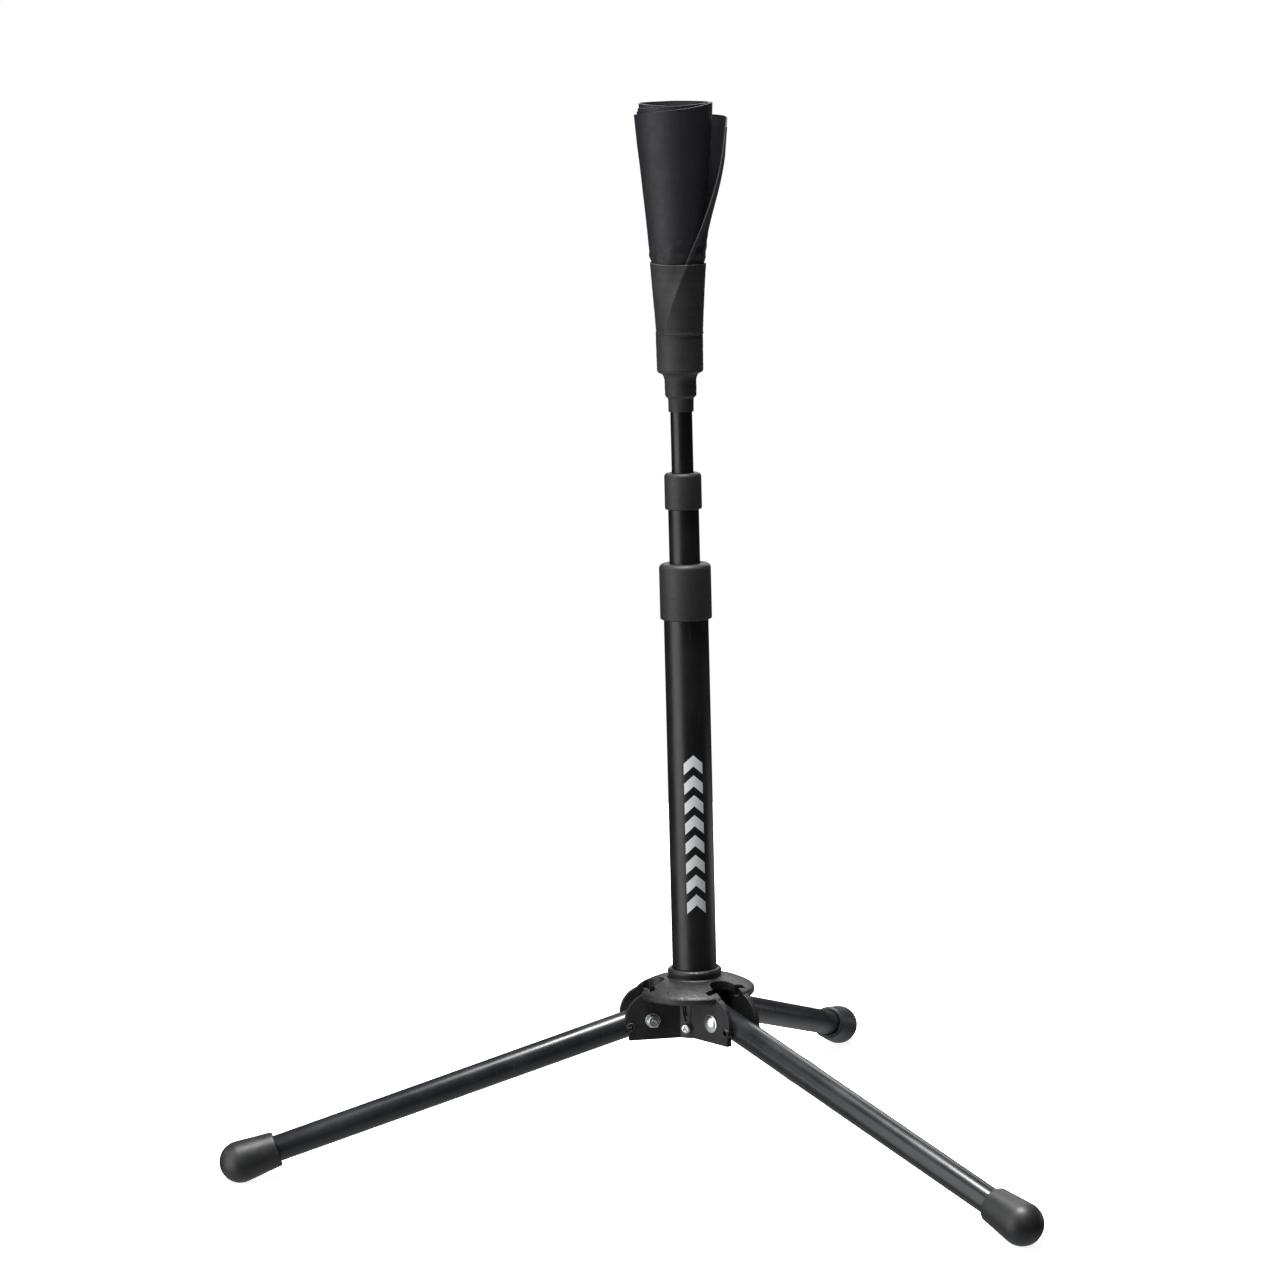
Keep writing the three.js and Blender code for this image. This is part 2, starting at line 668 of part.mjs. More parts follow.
function rollRadius(height) {
  const { lerp } = THREE.MathUtils;
  if (height < SLEEVE_TOP) {
    const gripped = (height - ROLL_BOTTOM) / (SLEEVE_TOP - ROLL_BOTTOM);
    return lerp(ROLL_BOTTOM_RADIUS, ROLL_SLEEVE_RADIUS, gripped);
  }
  return lerp(ROLL_SLEEVE_RADIUS, ROLL_TOP_RADIUS, (height - SLEEVE_TOP) / (ROLL_TOP - SLEEVE_TOP));
}

// The rolled sheet as one wall of all its layers, open at the top and the bottom. Its
// outside swells on one side, where the last lap stands away from the roll.
function ballRestRoll() {
  const steps = 4;
  const heights = [ROLL_BOTTOM];
  for (let i = 0; i <= steps; i += 1) {
    heights.push(THREE.MathUtils.lerp(SLEEVE_TOP, ROLL_TOP, i / steps));
  }
  const outside = heights.map((height) => [rollRadius(height), height]);
  const inside = outside.map(([radius, height]) => [radius - ROLL_THICKNESS, height]).reverse();
  const geometry = turned([...outside, ...inside, outside[0]], FINE);
  const place = geometry.attributes.position;
  for (let i = 0; i < place.count; i += 1) {
    const point = new THREE.Vector3().fromBufferAttribute(place, i);
    const radius = Math.hypot(point.x, point.y);
    const isOutside = radius > rollRadius(point.z) - ROLL_THICKNESS / 2;
    const rise = THREE.MathUtils.smoothstep(point.z, SLEEVE_TOP, ROLL_TOP - LAP_DROP);
    const away = Math.abs(Math.atan2(point.y, point.x) - LAP_AZIMUTH) / LAP_HALF_SPREAD;
    if (isOutside && away < 1) {
      const swell = LAP_STAND_OFF * rise * (0.5 + 0.5 * Math.cos(Math.PI * away));
      place.setXY(i, point.x * (1 + swell / radius), point.y * (1 + swell / radius));
    }
  }
  return mesh('ball_rest_roll', geometry, 'sheet');
}

function shrinkSleeve() {
  const outline = [...SLEEVE_OUTSIDE, ...[...SLEEVE_INSIDE].reverse(), SLEEVE_OUTSIDE[0]];
  return mesh('shrink_sleeve', turned(outline, MEDIUM), 'sleeve');
}

// ---------------------------------------------------------------- assembly

const tee = new THREE.Group();
tee.add(
  hub(),
  mainTube(),
  endCap(),
  collar('lower_collar', LOWER_COLLAR, MAIN_TUBE, MID_TUBE, FINE),
  bushing('lower_bushing', MAIN_TUBE, MID_TUBE, MEDIUM),
  plainTube('mid_tube', MID_TUBE, MEDIUM),
  collar('upper_collar', UPPER_COLLAR, MID_TUBE, TOP_TUBE, MEDIUM),
  bushing('upper_bushing', MID_TUBE, TOP_TUBE, MEDIUM),
  ...frictionParts('mid', MID_TUBE, MAIN_TUBE, MEDIUM),
  plainTube('top_tube', TOP_TUBE, MEDIUM),
  ...frictionParts('top', TOP_TUBE, MID_TUBE, MEDIUM),
  neckAdapter(),
  ballRestRoll(),
  shrinkSleeve(),
);

LEG_AZIMUTHS.forEach((azimuth, i) => {
  tee.add(leg(i + 1, azimuth));
  const screw = socketScrew(`socket_screw_${i + 1}`);
  screw.rotation.z = THREE.MathUtils.degToRad(azimuth + 60);
  tee.add(screw);
});

// The middle of the feet's box is a quarter of their reach from the column's axis, towards
// the leg that points to +Y.
tee.position.set(0, -FOOT_REACH / 4, 0);

export default tee;
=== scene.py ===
import json
import math

import bpy
import numpy as np
from mathutils import Matrix, Quaternion, Vector, noise

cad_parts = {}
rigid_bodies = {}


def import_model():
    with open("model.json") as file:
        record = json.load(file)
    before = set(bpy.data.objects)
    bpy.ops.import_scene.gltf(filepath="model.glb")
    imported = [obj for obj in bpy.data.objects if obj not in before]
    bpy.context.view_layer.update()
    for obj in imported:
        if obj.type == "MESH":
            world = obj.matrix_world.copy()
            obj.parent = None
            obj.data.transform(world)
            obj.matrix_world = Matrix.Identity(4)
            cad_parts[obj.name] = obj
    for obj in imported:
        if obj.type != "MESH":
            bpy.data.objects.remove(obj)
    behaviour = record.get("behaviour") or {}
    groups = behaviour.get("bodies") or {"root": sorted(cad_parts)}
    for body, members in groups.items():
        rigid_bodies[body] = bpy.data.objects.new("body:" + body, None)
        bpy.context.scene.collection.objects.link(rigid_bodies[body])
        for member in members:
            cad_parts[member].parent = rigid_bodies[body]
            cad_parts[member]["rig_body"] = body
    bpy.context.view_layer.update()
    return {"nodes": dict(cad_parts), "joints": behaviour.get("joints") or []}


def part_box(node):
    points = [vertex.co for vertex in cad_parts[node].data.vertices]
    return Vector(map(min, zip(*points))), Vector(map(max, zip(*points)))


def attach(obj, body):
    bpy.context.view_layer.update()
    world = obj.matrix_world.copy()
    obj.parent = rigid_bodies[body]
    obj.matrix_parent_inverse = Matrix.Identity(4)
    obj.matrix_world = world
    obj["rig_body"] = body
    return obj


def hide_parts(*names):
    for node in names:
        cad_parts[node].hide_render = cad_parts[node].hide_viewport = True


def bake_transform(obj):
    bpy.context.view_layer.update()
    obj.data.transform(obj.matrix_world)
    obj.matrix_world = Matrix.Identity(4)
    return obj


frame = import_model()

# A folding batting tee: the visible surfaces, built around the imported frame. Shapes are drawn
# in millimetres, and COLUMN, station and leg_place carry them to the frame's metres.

# ---- camera

VIEW_AZIMUTH = 20.74  # degrees round from looking along +Y
VIEW_ELEVATION = 8.297
VIEW_ROLL = -1.4785
VIEW_DISTANCE = 2.94985
VIEW_TARGET = Vector((-0.04017, -0.07161, 0.37282))
LENS = 114.88
SENSOR_WIDTH = 36


def direction(azimuth, elevation):
    """The unit vector from the object to a viewer or a lamp at these angles, in degrees."""
    across = math.cos(math.radians(elevation))
    return Vector((
        math.sin(math.radians(azimuth)) * across,
        -math.cos(math.radians(azimuth)) * across,
        math.sin(math.radians(elevation)),
    ))


def make_camera():
    data = bpy.data.cameras.new("camera")
    data.sensor_width = SENSOR_WIDTH
    data.lens = LENS
    camera = bpy.data.objects.new("camera", data)
    bpy.context.scene.collection.objects.link(camera)
    back = direction(VIEW_AZIMUTH, VIEW_ELEVATION)
    camera.location = VIEW_TARGET + back * VIEW_DISTANCE
    camera.rotation_mode = "QUATERNION"
    roll = Quaternion((0, 0, 1), math.radians(VIEW_ROLL))
    camera.rotation_quaternion = (-back).to_track_quat("-Z", "Y") @ roll
    bpy.context.scene.camera = camera


make_camera()

# ---- places, from the frame

MM = 0.001


def node_size(node):
    """A node's middle across, and its half width, bottom and top, in millimetres."""
    low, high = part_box(node)
    middle = (low + high) / 2
    return middle, (high.x - low.x) / 2 / MM, low.z / MM, high.z / MM


column_middle, MAIN_RADIUS, MAIN_BOTTOM, MAIN_TOP = node_size("main_tube")
_, MID_RADIUS, MID_BOTTOM, MID_TOP = node_size("mid_tube")
_, TOP_RADIUS, TOP_BOTTOM, TOP_TOP = node_size("top_tube")
_, LOWER_RADIUS, LOWER_BOTTOM, LOWER_TOP = node_size("lower_collar")
_, UPPER_RADIUS, UPPER_BOTTOM, UPPER_TOP = node_size("upper_collar")
_, _, HUB_BOTTOM, BEAD_TOP = node_size("hub")
_, _, SLEEVE_BOTTOM, SLEEVE_TOP = node_size("shrink_sleeve")
_, _, ROLL_BOTTOM, ROLL_TOP = node_size("ball_rest_roll")
_, _, _, POST_TOP = node_size("neck_adapter")

COLUMN_AXIS = Vector((column_middle.x, column_middle.y, 0))
COLUMN = Matrix.Translation(COLUMN_AXIS) @ Matrix.Scale(MM, 4)
ALONG_X = Matrix.Rotation(math.pi / 2, 4, "Y")  # lays a piece turned on Z along X
ALONG_Y = Matrix.Rotation(-math.pi / 2, 4, "X")

JOINTS = {joint["name"]: joint for joint in frame["joints"]}
LEGS = (1, 2, 3)
PIVOT = Vector(JOINTS["leg_fold_1"]["pos_m"])
PIVOT_RADIUS = (Vector((PIVOT.x, PIVOT.y, 0)) - COLUMN_AXIS).length / MM
PIVOT_HEIGHT = PIVOT.z / MM
FOOT_CENTRE_HEIGHT = 14.6
LEG_REACH = 312
LEG_SLOPE = math.asin((PIVOT_HEIGHT - FOOT_CENTRE_HEIGHT) / LEG_REACH)


def leg_azimuth(leg):
    """The direction of a leg from the column, square to its joint's axis."""
    axis = Vector(JOINTS[f"leg_fold_{leg}"]["axis"])
    return math.atan2(axis.x, -axis.y)


def turn(angle):
    return Matrix.Rotation(angle, 4, "Z")


def station(leg):
    """A leg's upright plane: X outwards from the column's axis, Y along the pivot bolt."""
    return COLUMN @ turn(leg_azimuth(leg))


def leg_place(leg):
    """A leg's own frame: X along the tube from its pivot."""
    pivot = Matrix.Translation((PIVOT_RADIUS, 0, PIVOT_HEIGHT))
    return station(leg) @ pivot @ Matrix.Rotation(LEG_SLOPE, 4, "Y")


# ---- material helpers

def add(tree, kind, values=None, **settings):
    """A new shader node, with its settings, and values or links for its inputs."""
    made = tree.nodes.new(kind)
    for key, value in settings.items():
        setattr(made, key, value)
    for key, value in (values or {}).items():
        if isinstance(value, bpy.types.NodeSocket):
            tree.links.new(value, made.inputs[key])
        else:
            made.inputs[key].default_value = value
    return made


def new_material(name, **plain):
    """A material, its tree, its surface node and the place on the object."""
    material = bpy.data.materials.new(name)
    material.use_nodes = True
    tree = material.node_tree
    surface = tree.nodes["Principled BSDF"]
    for key, value in plain.items():
        surface.inputs[key.replace("_", " ")].default_value = value
    place = add(tree, "ShaderNodeTexCoord").outputs["Object"]
    return material, tree, surface, place


def grain(tree, place, scale, detail=2.0, stretch=(1, 1, 1)):
    """Noise of a given fineness, in features per metre, drawn out along one direction or none."""
    mapped = add(tree, "ShaderNodeMapping", {"Vector": place, "Scale": stretch})
    return add(
        tree, "ShaderNodeTexNoise",
        {"Vector": mapped.outputs["Vector"], "Scale": scale, "Detail": detail},
    ).outputs["Fac"]


def spread(tree, value, low, high, start=0.3, end=0.7):
    """Carries a value from one range to another, held inside it."""
    return add(
        tree, "ShaderNodeMapRange",
        {"Value": value, "From Min": start, "From Max": end, "To Min": low, "To Max": high},
    ).outputs["Result"]


def mixed(tree, share, first, second):
    """A colour between two colours or colour sockets."""
    node = add(tree, "ShaderNodeMix", data_type="RGBA")
    for key, value in (("Factor", share), ("A", first), ("B", second)):
        socket = next(s for s in node.inputs if s.name == key and s.enabled)
        if isinstance(value, bpy.types.NodeSocket):
            tree.links.new(value, socket)
        else:
            socket.default_value = value if key == "Factor" else (*value, 1)
    return next(s for s in node.outputs if s.enabled)


def arithmetic(tree, operation, *values):
    return add(
        tree, "ShaderNodeMath", dict(enumerate(values)), operation=operation
    ).outputs["Value"]


def connect(tree, surface, colour, roughness, *layers):
    """Gives a surface its colour, its roughness and its bumps, one on another. A layer is a
    height and how deep it is, in metres."""
    tree.links.new(colour, surface.inputs["Base Color"])
    tree.links.new(roughness, surface.inputs["Roughness"])
    values = {"Strength": 1.0}
    for height, depth in layers:
        bump = add(tree, "ShaderNodeBump", {"Height": height, "Distance": depth, **values})
        values["Normal"] = bump.outputs["Normal"]
    if layers:
        tree.links.new(values["Normal"], surface.inputs["Normal"])


def shade(colour, factor):
    return tuple(channel * factor for channel in colour)


def clouded(tree, clouds, colour, dark, pale):
    """A colour that drifts between two shades of itself."""
    return mixed(tree, spread(tree, clouds, 0, 1), shade(colour, dark), shade(colour, pale))


# ---- materials

def powder_coat(name, colour, gloss=0.0, printed=False):
    """A satin coat with a slight orange peel and sparse fine scratches that run up it."""
    material, tree, surface, place = new_material(name)
    clouds = grain(tree, place, 40, 4.0)
    peel = grain(tree, place, 900, 1.5)
    scratches = spread(tree, grain(tree, place, 700, 1.0, (1, 1, 0.05)), 0, 1, 0.68, 0.74)
    base = clouded(tree, clouds, colour, 0.8, 1.25)
    base = mixed(tree, arithmetic(tree, "MULTIPLY", scratches, 0.35), base, (0.05, 0.052, 0.055))
    roughness = spread(tree, clouds, 0.33 - gloss, 0.42 - gloss)
    if printed:
        ink = chevron_mask(tree)
        base = mixed(tree, ink, base, (0.78, 0.79, 0.8))
        roughness = arithmetic(tree, "ADD", roughness, arithmetic(tree, "MULTIPLY", ink, 0.12))
    connect(tree, surface, base, roughness, (peel, 0.00003), (scratches, -0.00001))
    return material


PRINT_WIDTH = 14.0
PRINT_PITCH = 14.5
PRINT_BAR = 0.56  # of the pitch
PRINT_SLOPE = 0.9
PRINT_COUNT = 8


def chevron_mask(tree):
    """White chevrons up the tube, from the distances stored on its mesh in millimetres."""
    stored = add(tree, "ShaderNodeAttribute", attribute_name="print_place").outputs["Vector"]
    split = add(tree, "ShaderNodeSeparateXYZ", {"Vector": stored})
    across = arithmetic(tree, "ABSOLUTE", split.outputs["X"])
    up = split.outputs["Y"]
    slanted = arithmetic(tree, "ADD", up, arithmetic(tree, "MULTIPLY", across, PRINT_SLOPE))
    cycle = arithmetic(tree, "FRACT", arithmetic(tree, "DIVIDE", slanted, PRINT_PITCH))
    bar = arithmetic(tree, "LESS_THAN", cycle, PRINT_BAR)
    inside = arithmetic(tree, "LESS_THAN", across, PRINT_WIDTH / 2)
    above = arithmetic(tree, "GREATER_THAN", slanted, 0.0)
    below = arithmetic(tree, "LESS_THAN", slanted, PRINT_PITCH * PRINT_COUNT)
    mask = arithmetic(tree, "MULTIPLY", bar, inside)
    return arithmetic(tree, "MULTIPLY", mask, arithmetic(tree, "MULTIPLY", above, below))


def moulded_plastic(name, colour, grain_depth, roughness):
    """Spark-textured nylon: a fine pebbled grain over slow changes of gloss, with painted glints:
    paler specks painted on the grain's peaks.
    """
    material, tree, surface, place = new_material(name)
    pebbles_and_painted_glints = grain(tree, place, 900, 2.0)
    coarse = grain(tree, place, 320, 2.0)
    clouds = grain(tree, place, 30, 3.0)
    base = clouded(tree, clouds, colour, 0.8, 1.2)
    # Painted glints: the grain's peaks are painted paler, standing in for sparkle from the light.
    base = mixed(tree, spread(tree, pebbles_and_painted_glints, 0, 0.45, 0.58, 0.72), base, shade(colour, 2.6))
    gloss = spread(tree, coarse, *roughness)
    connect(tree, surface, base, gloss, (pebbles_and_painted_glints, grain_depth), (coarse, grain_depth * 0.6))
    return material


def rubber(name, colour, roughness, scuffs=0.5):
    """Moulded rubber with a bloom of dust and rubbed, slightly paler patches."""
    material, tree, surface, place = new_material(name)
    fine = grain(tree, place, 1700, 2.0)
    rubbed = grain(tree, place, 120, 5.0)
    clouds = grain(tree, place, 28, 3.0)
    base = clouded(tree, clouds, colour, 0.78, 1.2)
    patches = arithmetic(tree, "MULTIPLY", spread(tree, rubbed, 0, 1, 0.56, 0.74), scuffs)
    base = mixed(tree, patches, base, shade(colour, 2.2))
    gloss = spread(tree, rubbed, *roughness)
    connect(tree, surface, base, gloss, (fine, 0.00004), (rubbed, 0.00012))
    return material


WEAVE_PITCH = 0.62  # millimetres between threads


def woven_sheet(name, colour):
    """Coated cloth: a plain weave that follows the sheet, under a thin satin coating."""
    material, tree, surface, place = new_material(name)
    stored = add(tree, "ShaderNodeAttribute", attribute_name="sheet_place").outputs["Vector"]
    split = add(tree, "ShaderNodeSeparateXYZ", {"Vector": stored})
    threads = []
    for axis in ("X", "Y"):
        wave = arithmetic(tree, "MULTIPLY", split.outputs[axis], 2 * math.pi / WEAVE_PITCH)
        threads.append(arithmetic(tree, "SINE", wave))
    weave = arithmetic(tree, "MULTIPLY", *threads)
    weave = spread(tree, weave, 0, 1, -1, 1)
    clouds = grain(tree, place, 45, 4.0)
    flecks = grain(tree, place, 1500, 1.0)
    rubbed = grain(tree, place, 210, 5.0)
    base = clouded(tree, clouds, colour, 0.82, 1.18)
    base = mixed(tree, arithmetic(tree, "MULTIPLY", weave, 0.25), base, shade(colour, 1.5))
    base = mixed(tree, spread(tree, flecks, 0, 0.5, 0.66, 0.76), base, shade(colour, 4.0))
    gloss = spread(tree, rubbed, 0.5, 0.64)
    connect(tree, surface, base, gloss, (weave, 0.00005), (rubbed, 0.0001))
    return material


def painted_edge_highlight(name, colour):
    """A cut edge painted much paler than the faces, as a painted highlight along it, uneven here and
    there.
    """
    material, tree, surface, place = new_material(name)
    fibres = grain(tree, place, 900, 4.0)
    patches = grain(tree, place, 90, 3.0)
    share = arithmetic(tree, "MULTIPLY", fibres, spread(tree, patches, 0.4, 1.3))
    base = mixed(tree, share, shade(colour, 0.35), shade(colour, 1.3))
    connect(tree, surface, base, spread(tree, fibres, 0.6, 0.85), (fibres, 0.0001))
    return material


def plated_steel(name, colour, roughness):
    """Zinc plate: bright, a little blue, with faint clouds and fine turning marks."""
    material, tree, surface, place = new_material(name, Metallic=1.0)
    clouds = grain(tree, place, 160, 3.0)
    fine = grain(tree, place, 2600, 2.0)
    warm = (colour[0] * 0.98, colour[1] * 0.93, colour[2] * 0.85)
    base = mixed(tree, spread(tree, clouds, 0, 1), colour, warm)
    base = mixed(tree, spread(tree, fine, 0, 0.4, 0.62, 0.75), base, shade(colour, 0.55))
    gloss = spread(tree, clouds, *roughness)
    connect(tree, surface, base, gloss, (fine, 0.00002), (clouds, 0.00003))
    return material


COLUMN_COAT = powder_coat("powder_coat", (0.005, 0.0052, 0.0055))
PRINTED_COAT = powder_coat("powder_coat_printed", (0.005, 0.0052, 0.0055), printed=True)
# Painted reflection: the legs' coat is paler and bluer than the column's, standing in for the white
# surroundings reflected in it.
LEG_COAT_PAINTED_REFLECTION = powder_coat("powder_coat_leg_painted_reflection", (0.012, 0.0135, 0.0165), gloss=0.07)
HUB_NYLON = moulded_plastic("black_nylon", (0.0125, 0.0125, 0.0131), 0.00026, (0.38, 0.56))
COLLAR_NYLON = moulded_plastic("black_nylon_collar", (0.02, 0.02, 0.0205), 0.00005, (0.52, 0.62))
INNER_PLASTIC = moulded_plastic("inner_plastic", (0.022, 0.022, 0.024), 0.00003, (0.45, 0.6))
FOOT_RUBBER = rubber("foot_rubber", (0.015, 0.0155, 0.0165), (0.4, 0.56))
RING_RUBBER = rubber("ring_rubber", (0.012, 0.012, 0.013), (0.6, 0.75), 0.2)
SLEEVE_RUBBER = rubber("sleeve_rubber", (0.026, 0.0255, 0.0255), (0.55, 0.7), 0.25)
ROLLED_SHEET = woven_sheet("rolled_sheet", (0.0115, 0.0114, 0.0162))
# Painted highlight: the hem's cloth is paler than the sheet's, standing in for light caught along
# the loose edge.
HEM_PAINTED_HIGHLIGHT = woven_sheet("rolled_sheet_hem_painted_highlight", (0.034, 0.0335, 0.037))
# Painted highlight: the sheet's edges are much paler than its faces, standing in for light caught
# along them.
SHEET_EDGE_PAINTED_HIGHLIGHT = painted_edge_highlight("rolled_sheet_edge_painted_highlight", (0.2, 0.2, 0.205))
# Painted highlight: the sleeve's cut rim is much paler than its sides, standing in for the overhead
# light caught on its top.
SLEEVE_RIM_PAINTED_HIGHLIGHT = painted_edge_highlight("sleeve_rim_painted_highlight", (0.17, 0.17, 0.17))
ZINC = plated_steel("zinc_steel", (0.8, 0.85, 0.88), (0.26, 0.44))
SPRING_STEEL = plated_steel("spring_steel", (0.45, 0.47, 0.5), (0.28, 0.42))

# ---- shape helpers

FINE = 128  # facets round a visible turned piece
SMALL = 48  # round a small one
SHARP = math.radians(38)


def arc(x, y, radius, start, end, steps):
    """Points of an arc about a centre, between two angles in degrees."""
    angles = [math.radians(start + (end - start) * i / steps) for i in range(steps + 1)]
    return [(x + radius * math.cos(a), y + radius * math.sin(a)) for a in angles]


def rounded(corners, steps=4):
    """An outline with rounded corners. Each corner is (x, y) or (x, y, radius of its rounding)."""
    outline = []
    for i, corner in enumerate(corners):
        here = Vector(corner[:2])
        if len(corner) < 3:
            outline.append(tuple(here))
            continue
        back = (Vector(corners[i - 1][:2]) - here).normalized()
        on = (Vector(corners[(i + 1) % len(corners)][:2]) - here).normalized()
        half = back.angle(on) / 2
        centre = here + (back + on).normalized() * (corner[2] / math.sin(half))
        start = here + back * (corner[2] / math.tan(half)) - centre
        end = here + on * (corner[2] / math.tan(half)) - centre
        sweep = math.atan2(start.x * end.y - start.y * end.x, start.dot(end))
        for k in range(steps + 1):
            angle = math.atan2(start.y, start.x) + sweep * k / steps
            spoke = Vector((math.cos(angle), math.sin(angle))) * corner[2]
            outline.append(tuple(centre + spoke))
    return outline


def turned(profile, segments=FINE, closed=True):
    """A profile of (radius, height) turned on Z. It runs up the outside, and closes on itself
    or starts and ends on the axis."""
    vertices, faces, rows = [], [], []
    for radius, height in profile:
        count = 1 if radius < 1e-6 else segments
        rows.append([len(vertices) + i % count for i in range(segments)])
        for i in range(count):
            angle = 2 * math.pi * i / segments
            vertices.append((radius * math.cos(angle), radius * math.sin(angle), height))
    following = rows[1:] + rows[:1] if closed else rows[1:]
    for low, high in zip(rows, following):
        for i in range(segments):
            j = (i + 1) % segments
            face = tuple(dict.fromkeys((low[i], low[j], high[j], high[i])))
            if len(face) > 2:
                faces.append(face)
    return vertices, faces


def pin(radius, bottom, top, segments=SMALL):
    """A plain turned rod."""
    profile = [(0, bottom), (radius, bottom), (radius, top), (0, top)]
    return turned(profile, segments, closed=False)


def extruded(outline, low, high):
    """An outline in X and Y with its thickness along Z."""
    count = len(outline)
    vertices = [(x, y, z) for z in (low, high) for x, y in outline]
    faces = [tuple(reversed(range(count))), tuple(range(count, 2 * count))]
    for i in range(count):
        j = (i + 1) % count
        faces.append((i, j, count + j, count + i))
    return vertices, faces


def block(x0, x1, y0, y1, z0, z1):
    return extruded([(x0, y0), (x1, y0), (x1, y1), (x0, y1)], z0, z1)


def raw_object(name, shape, place=Matrix()):
    """A mesh object from vertices and faces, carried to its place."""
    mesh = bpy.data.meshes.new(name)
    mesh.from_pydata([tuple(v) for v in shape[0]], [], [tuple(f) for f in shape[1]])
    mesh.transform(place)
    mesh.update()
    made = bpy.data.objects.new(name, mesh)
    bpy.context.scene.collection.objects.link(made)
    return made


def settle(made):
    """Applies an object's modifiers to its mesh."""
    graph = bpy.context.evaluated_depsgraph_get()
    mesh = bpy.data.meshes.new_from_object(made.evaluated_get(graph))
    made.modifiers.clear()
    made.data = mesh


def combine(made, others, operation):
    """Joins other objects to one, cuts them from it or keeps what they share."""
    for other in others:
        step = made.modifiers.new("combine", "BOOLEAN")
        step.operation = operation
        step.solver = "MANIFOLD"
        step.object = other
    settle(made)
    for other in others:
        bpy.data.objects.remove(other)


def soften(made, voxel, passes, faces):
    """Rounds every edge of a moulding a little: a fine even mesh, smoothed and thinned."""
    remesh = made.modifiers.new("even", "REMESH")
    remesh.mode = "VOXEL"
    remesh.voxel_size = voxel
    smooth = made.modifiers.new("smooth", "SMOOTH")
    smooth.factor = 0.5
    smooth.iterations = passes
    settle(made)
    thin = made.modifiers.new("thin", "DECIMATE")
    thin.ratio = min(1.0, faces / (2 * len(made.data.polygons)))
    settle(made)


def dress(made, name, *materials):
    """Names a piece, gives it its materials and shades it smooth between its sharp edges."""
    made.name = name
    made.data.name = name
    made.data.materials.clear()
    for material in materials:
        made.data.materials.append(material)
    made.data.shade_smooth()
    made.data.set_sharp_from_angle(angle=SHARP)


def finish_piece(made, node, slot, *materials):
    """Dresses a piece that rides its CAD node's body and stands for that node."""
    dress(made, f"{node}_surface", *materials)
    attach(made, frame["nodes"][node]["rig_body"])
    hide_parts(node)


# ---- hub

GAP = 0.3
SOCKET_RADIUS = 20
DOME_TOP = 129.5
RIM_RADIUS = 43
RIM_TOP = 122.4
RIM_BOTTOM = 117.2
DOME_THICKNESS = 3
BEAD_RADIUS = 19.6
BEAD_ROUNDING = 2.4
CHANNEL_HALF_WIDTH = 10.3
WALL_THICKNESS = 4.1
WALL_START = 10
WALL_END = 51.5
WALL_ARC_RADIUS = 19.85
LOCK_DISTANCE = 16.7
LOCK_HOLE_RADIUS = 2
LOCK_BOSS_RADIUS = 3.2
LOCK_BOSS_HEIGHT = 1.1
NOTCH_WIDTH = 4
NOTCH_DEPTH = 7
NOTCH_FLOOR = 118.3
POCKET_BOTTOM = 116.5  # of the solid round each notch's blind end
POCKET_TOP = 121
POCKET_WALL = 1.6
RECESS_TOP = 116.4
PAST = 5  # how far a cutter runs past what it cuts
CHANNEL_OUTSIDE = CHANNEL_HALF_WIDTH + WALL_THICKNESS
LOCK_HOLE_X = PIVOT_RADIUS + LOCK_DISTANCE * math.cos(LEG_SLOPE)
LOCK_HOLE_Z = PIVOT_HEIGHT - LOCK_DISTANCE * math.sin(LEG_SLOPE)
BOLT_RADIUS = 2.5
BOLT_SQUARE = 5
SCREW_HEIGHT = 95.4
SCREW_SHANK_RADIUS = 1.5

UPRIGHT = Matrix.Rotation(math.pi / 2, 4, "X")  # stands an outline of X and Y up in X and Z


def socket_profile():
    bore = MAIN_RADIUS + GAP
    return [
        (bore, HUB_BOTTOM),
        (SOCKET_RADIUS, HUB_BOTTOM),
        (SOCKET_RADIUS, DOME_TOP),
        (BEAD_RADIUS - 0.9, DOME_TOP + 1),
        *arc(BEAD_RADIUS - BEAD_ROUNDING, BEAD_TOP - BEAD_ROUNDING, BEAD_ROUNDING, -20, 90, 12),
        (bore, BEAD_TOP),
    ]


def dome_profile():
    """A shallow dome that steepens towards its rim, which has an upright edge."""
    steps = 14
    outer = []
    for i in range(steps + 1):
        share = i / steps
        radius = RIM_RADIUS - 1 + (SOCKET_RADIUS - RIM_RADIUS) * share
        rise = math.sin(share * math.pi / 2) ** 0.9
        outer.append((radius, RIM_TOP + (DOME_TOP - RIM_TOP) * rise))
    return [
        (RIM_RADIUS - 1, RIM_BOTTOM),
        (RIM_RADIUS, RIM_BOTTOM + 1),
        (RIM_RADIUS, RIM_TOP - 1.2),
        *outer,
        (SOCKET_RADIUS - 1, DOME_TOP - 2 * DOME_THICKNESS),
        (RIM_RADIUS - 2 * DOME_THICKNESS, RIM_BOTTOM + 2.4),
        (RIM_RADIUS - 1.6 * DOME_THICKNESS, RIM_BOTTOM),
    ]


def wall_outline():
    """A channel's side wall, in the leg's upright plane."""
    return [
        (WALL_START, HUB_BOTTOM),
        (WALL_END, HUB_BOTTOM),
        (WALL_END, LOCK_HOLE_Z - LOCK_BOSS_RADIUS),
        *arc(LOCK_HOLE_X, LOCK_HOLE_Z, LOCK_BOSS_RADIUS, -50, 20, 8),
        *arc(PIVOT_RADIUS, PIVOT_HEIGHT, WALL_ARC_RADIUS, -7, 90, 40),
        (WALL_START, PIVOT_HEIGHT + WALL_ARC_RADIUS),
    ]


def shifted(x, y, z):
    return Matrix.Translation((x, y, z))


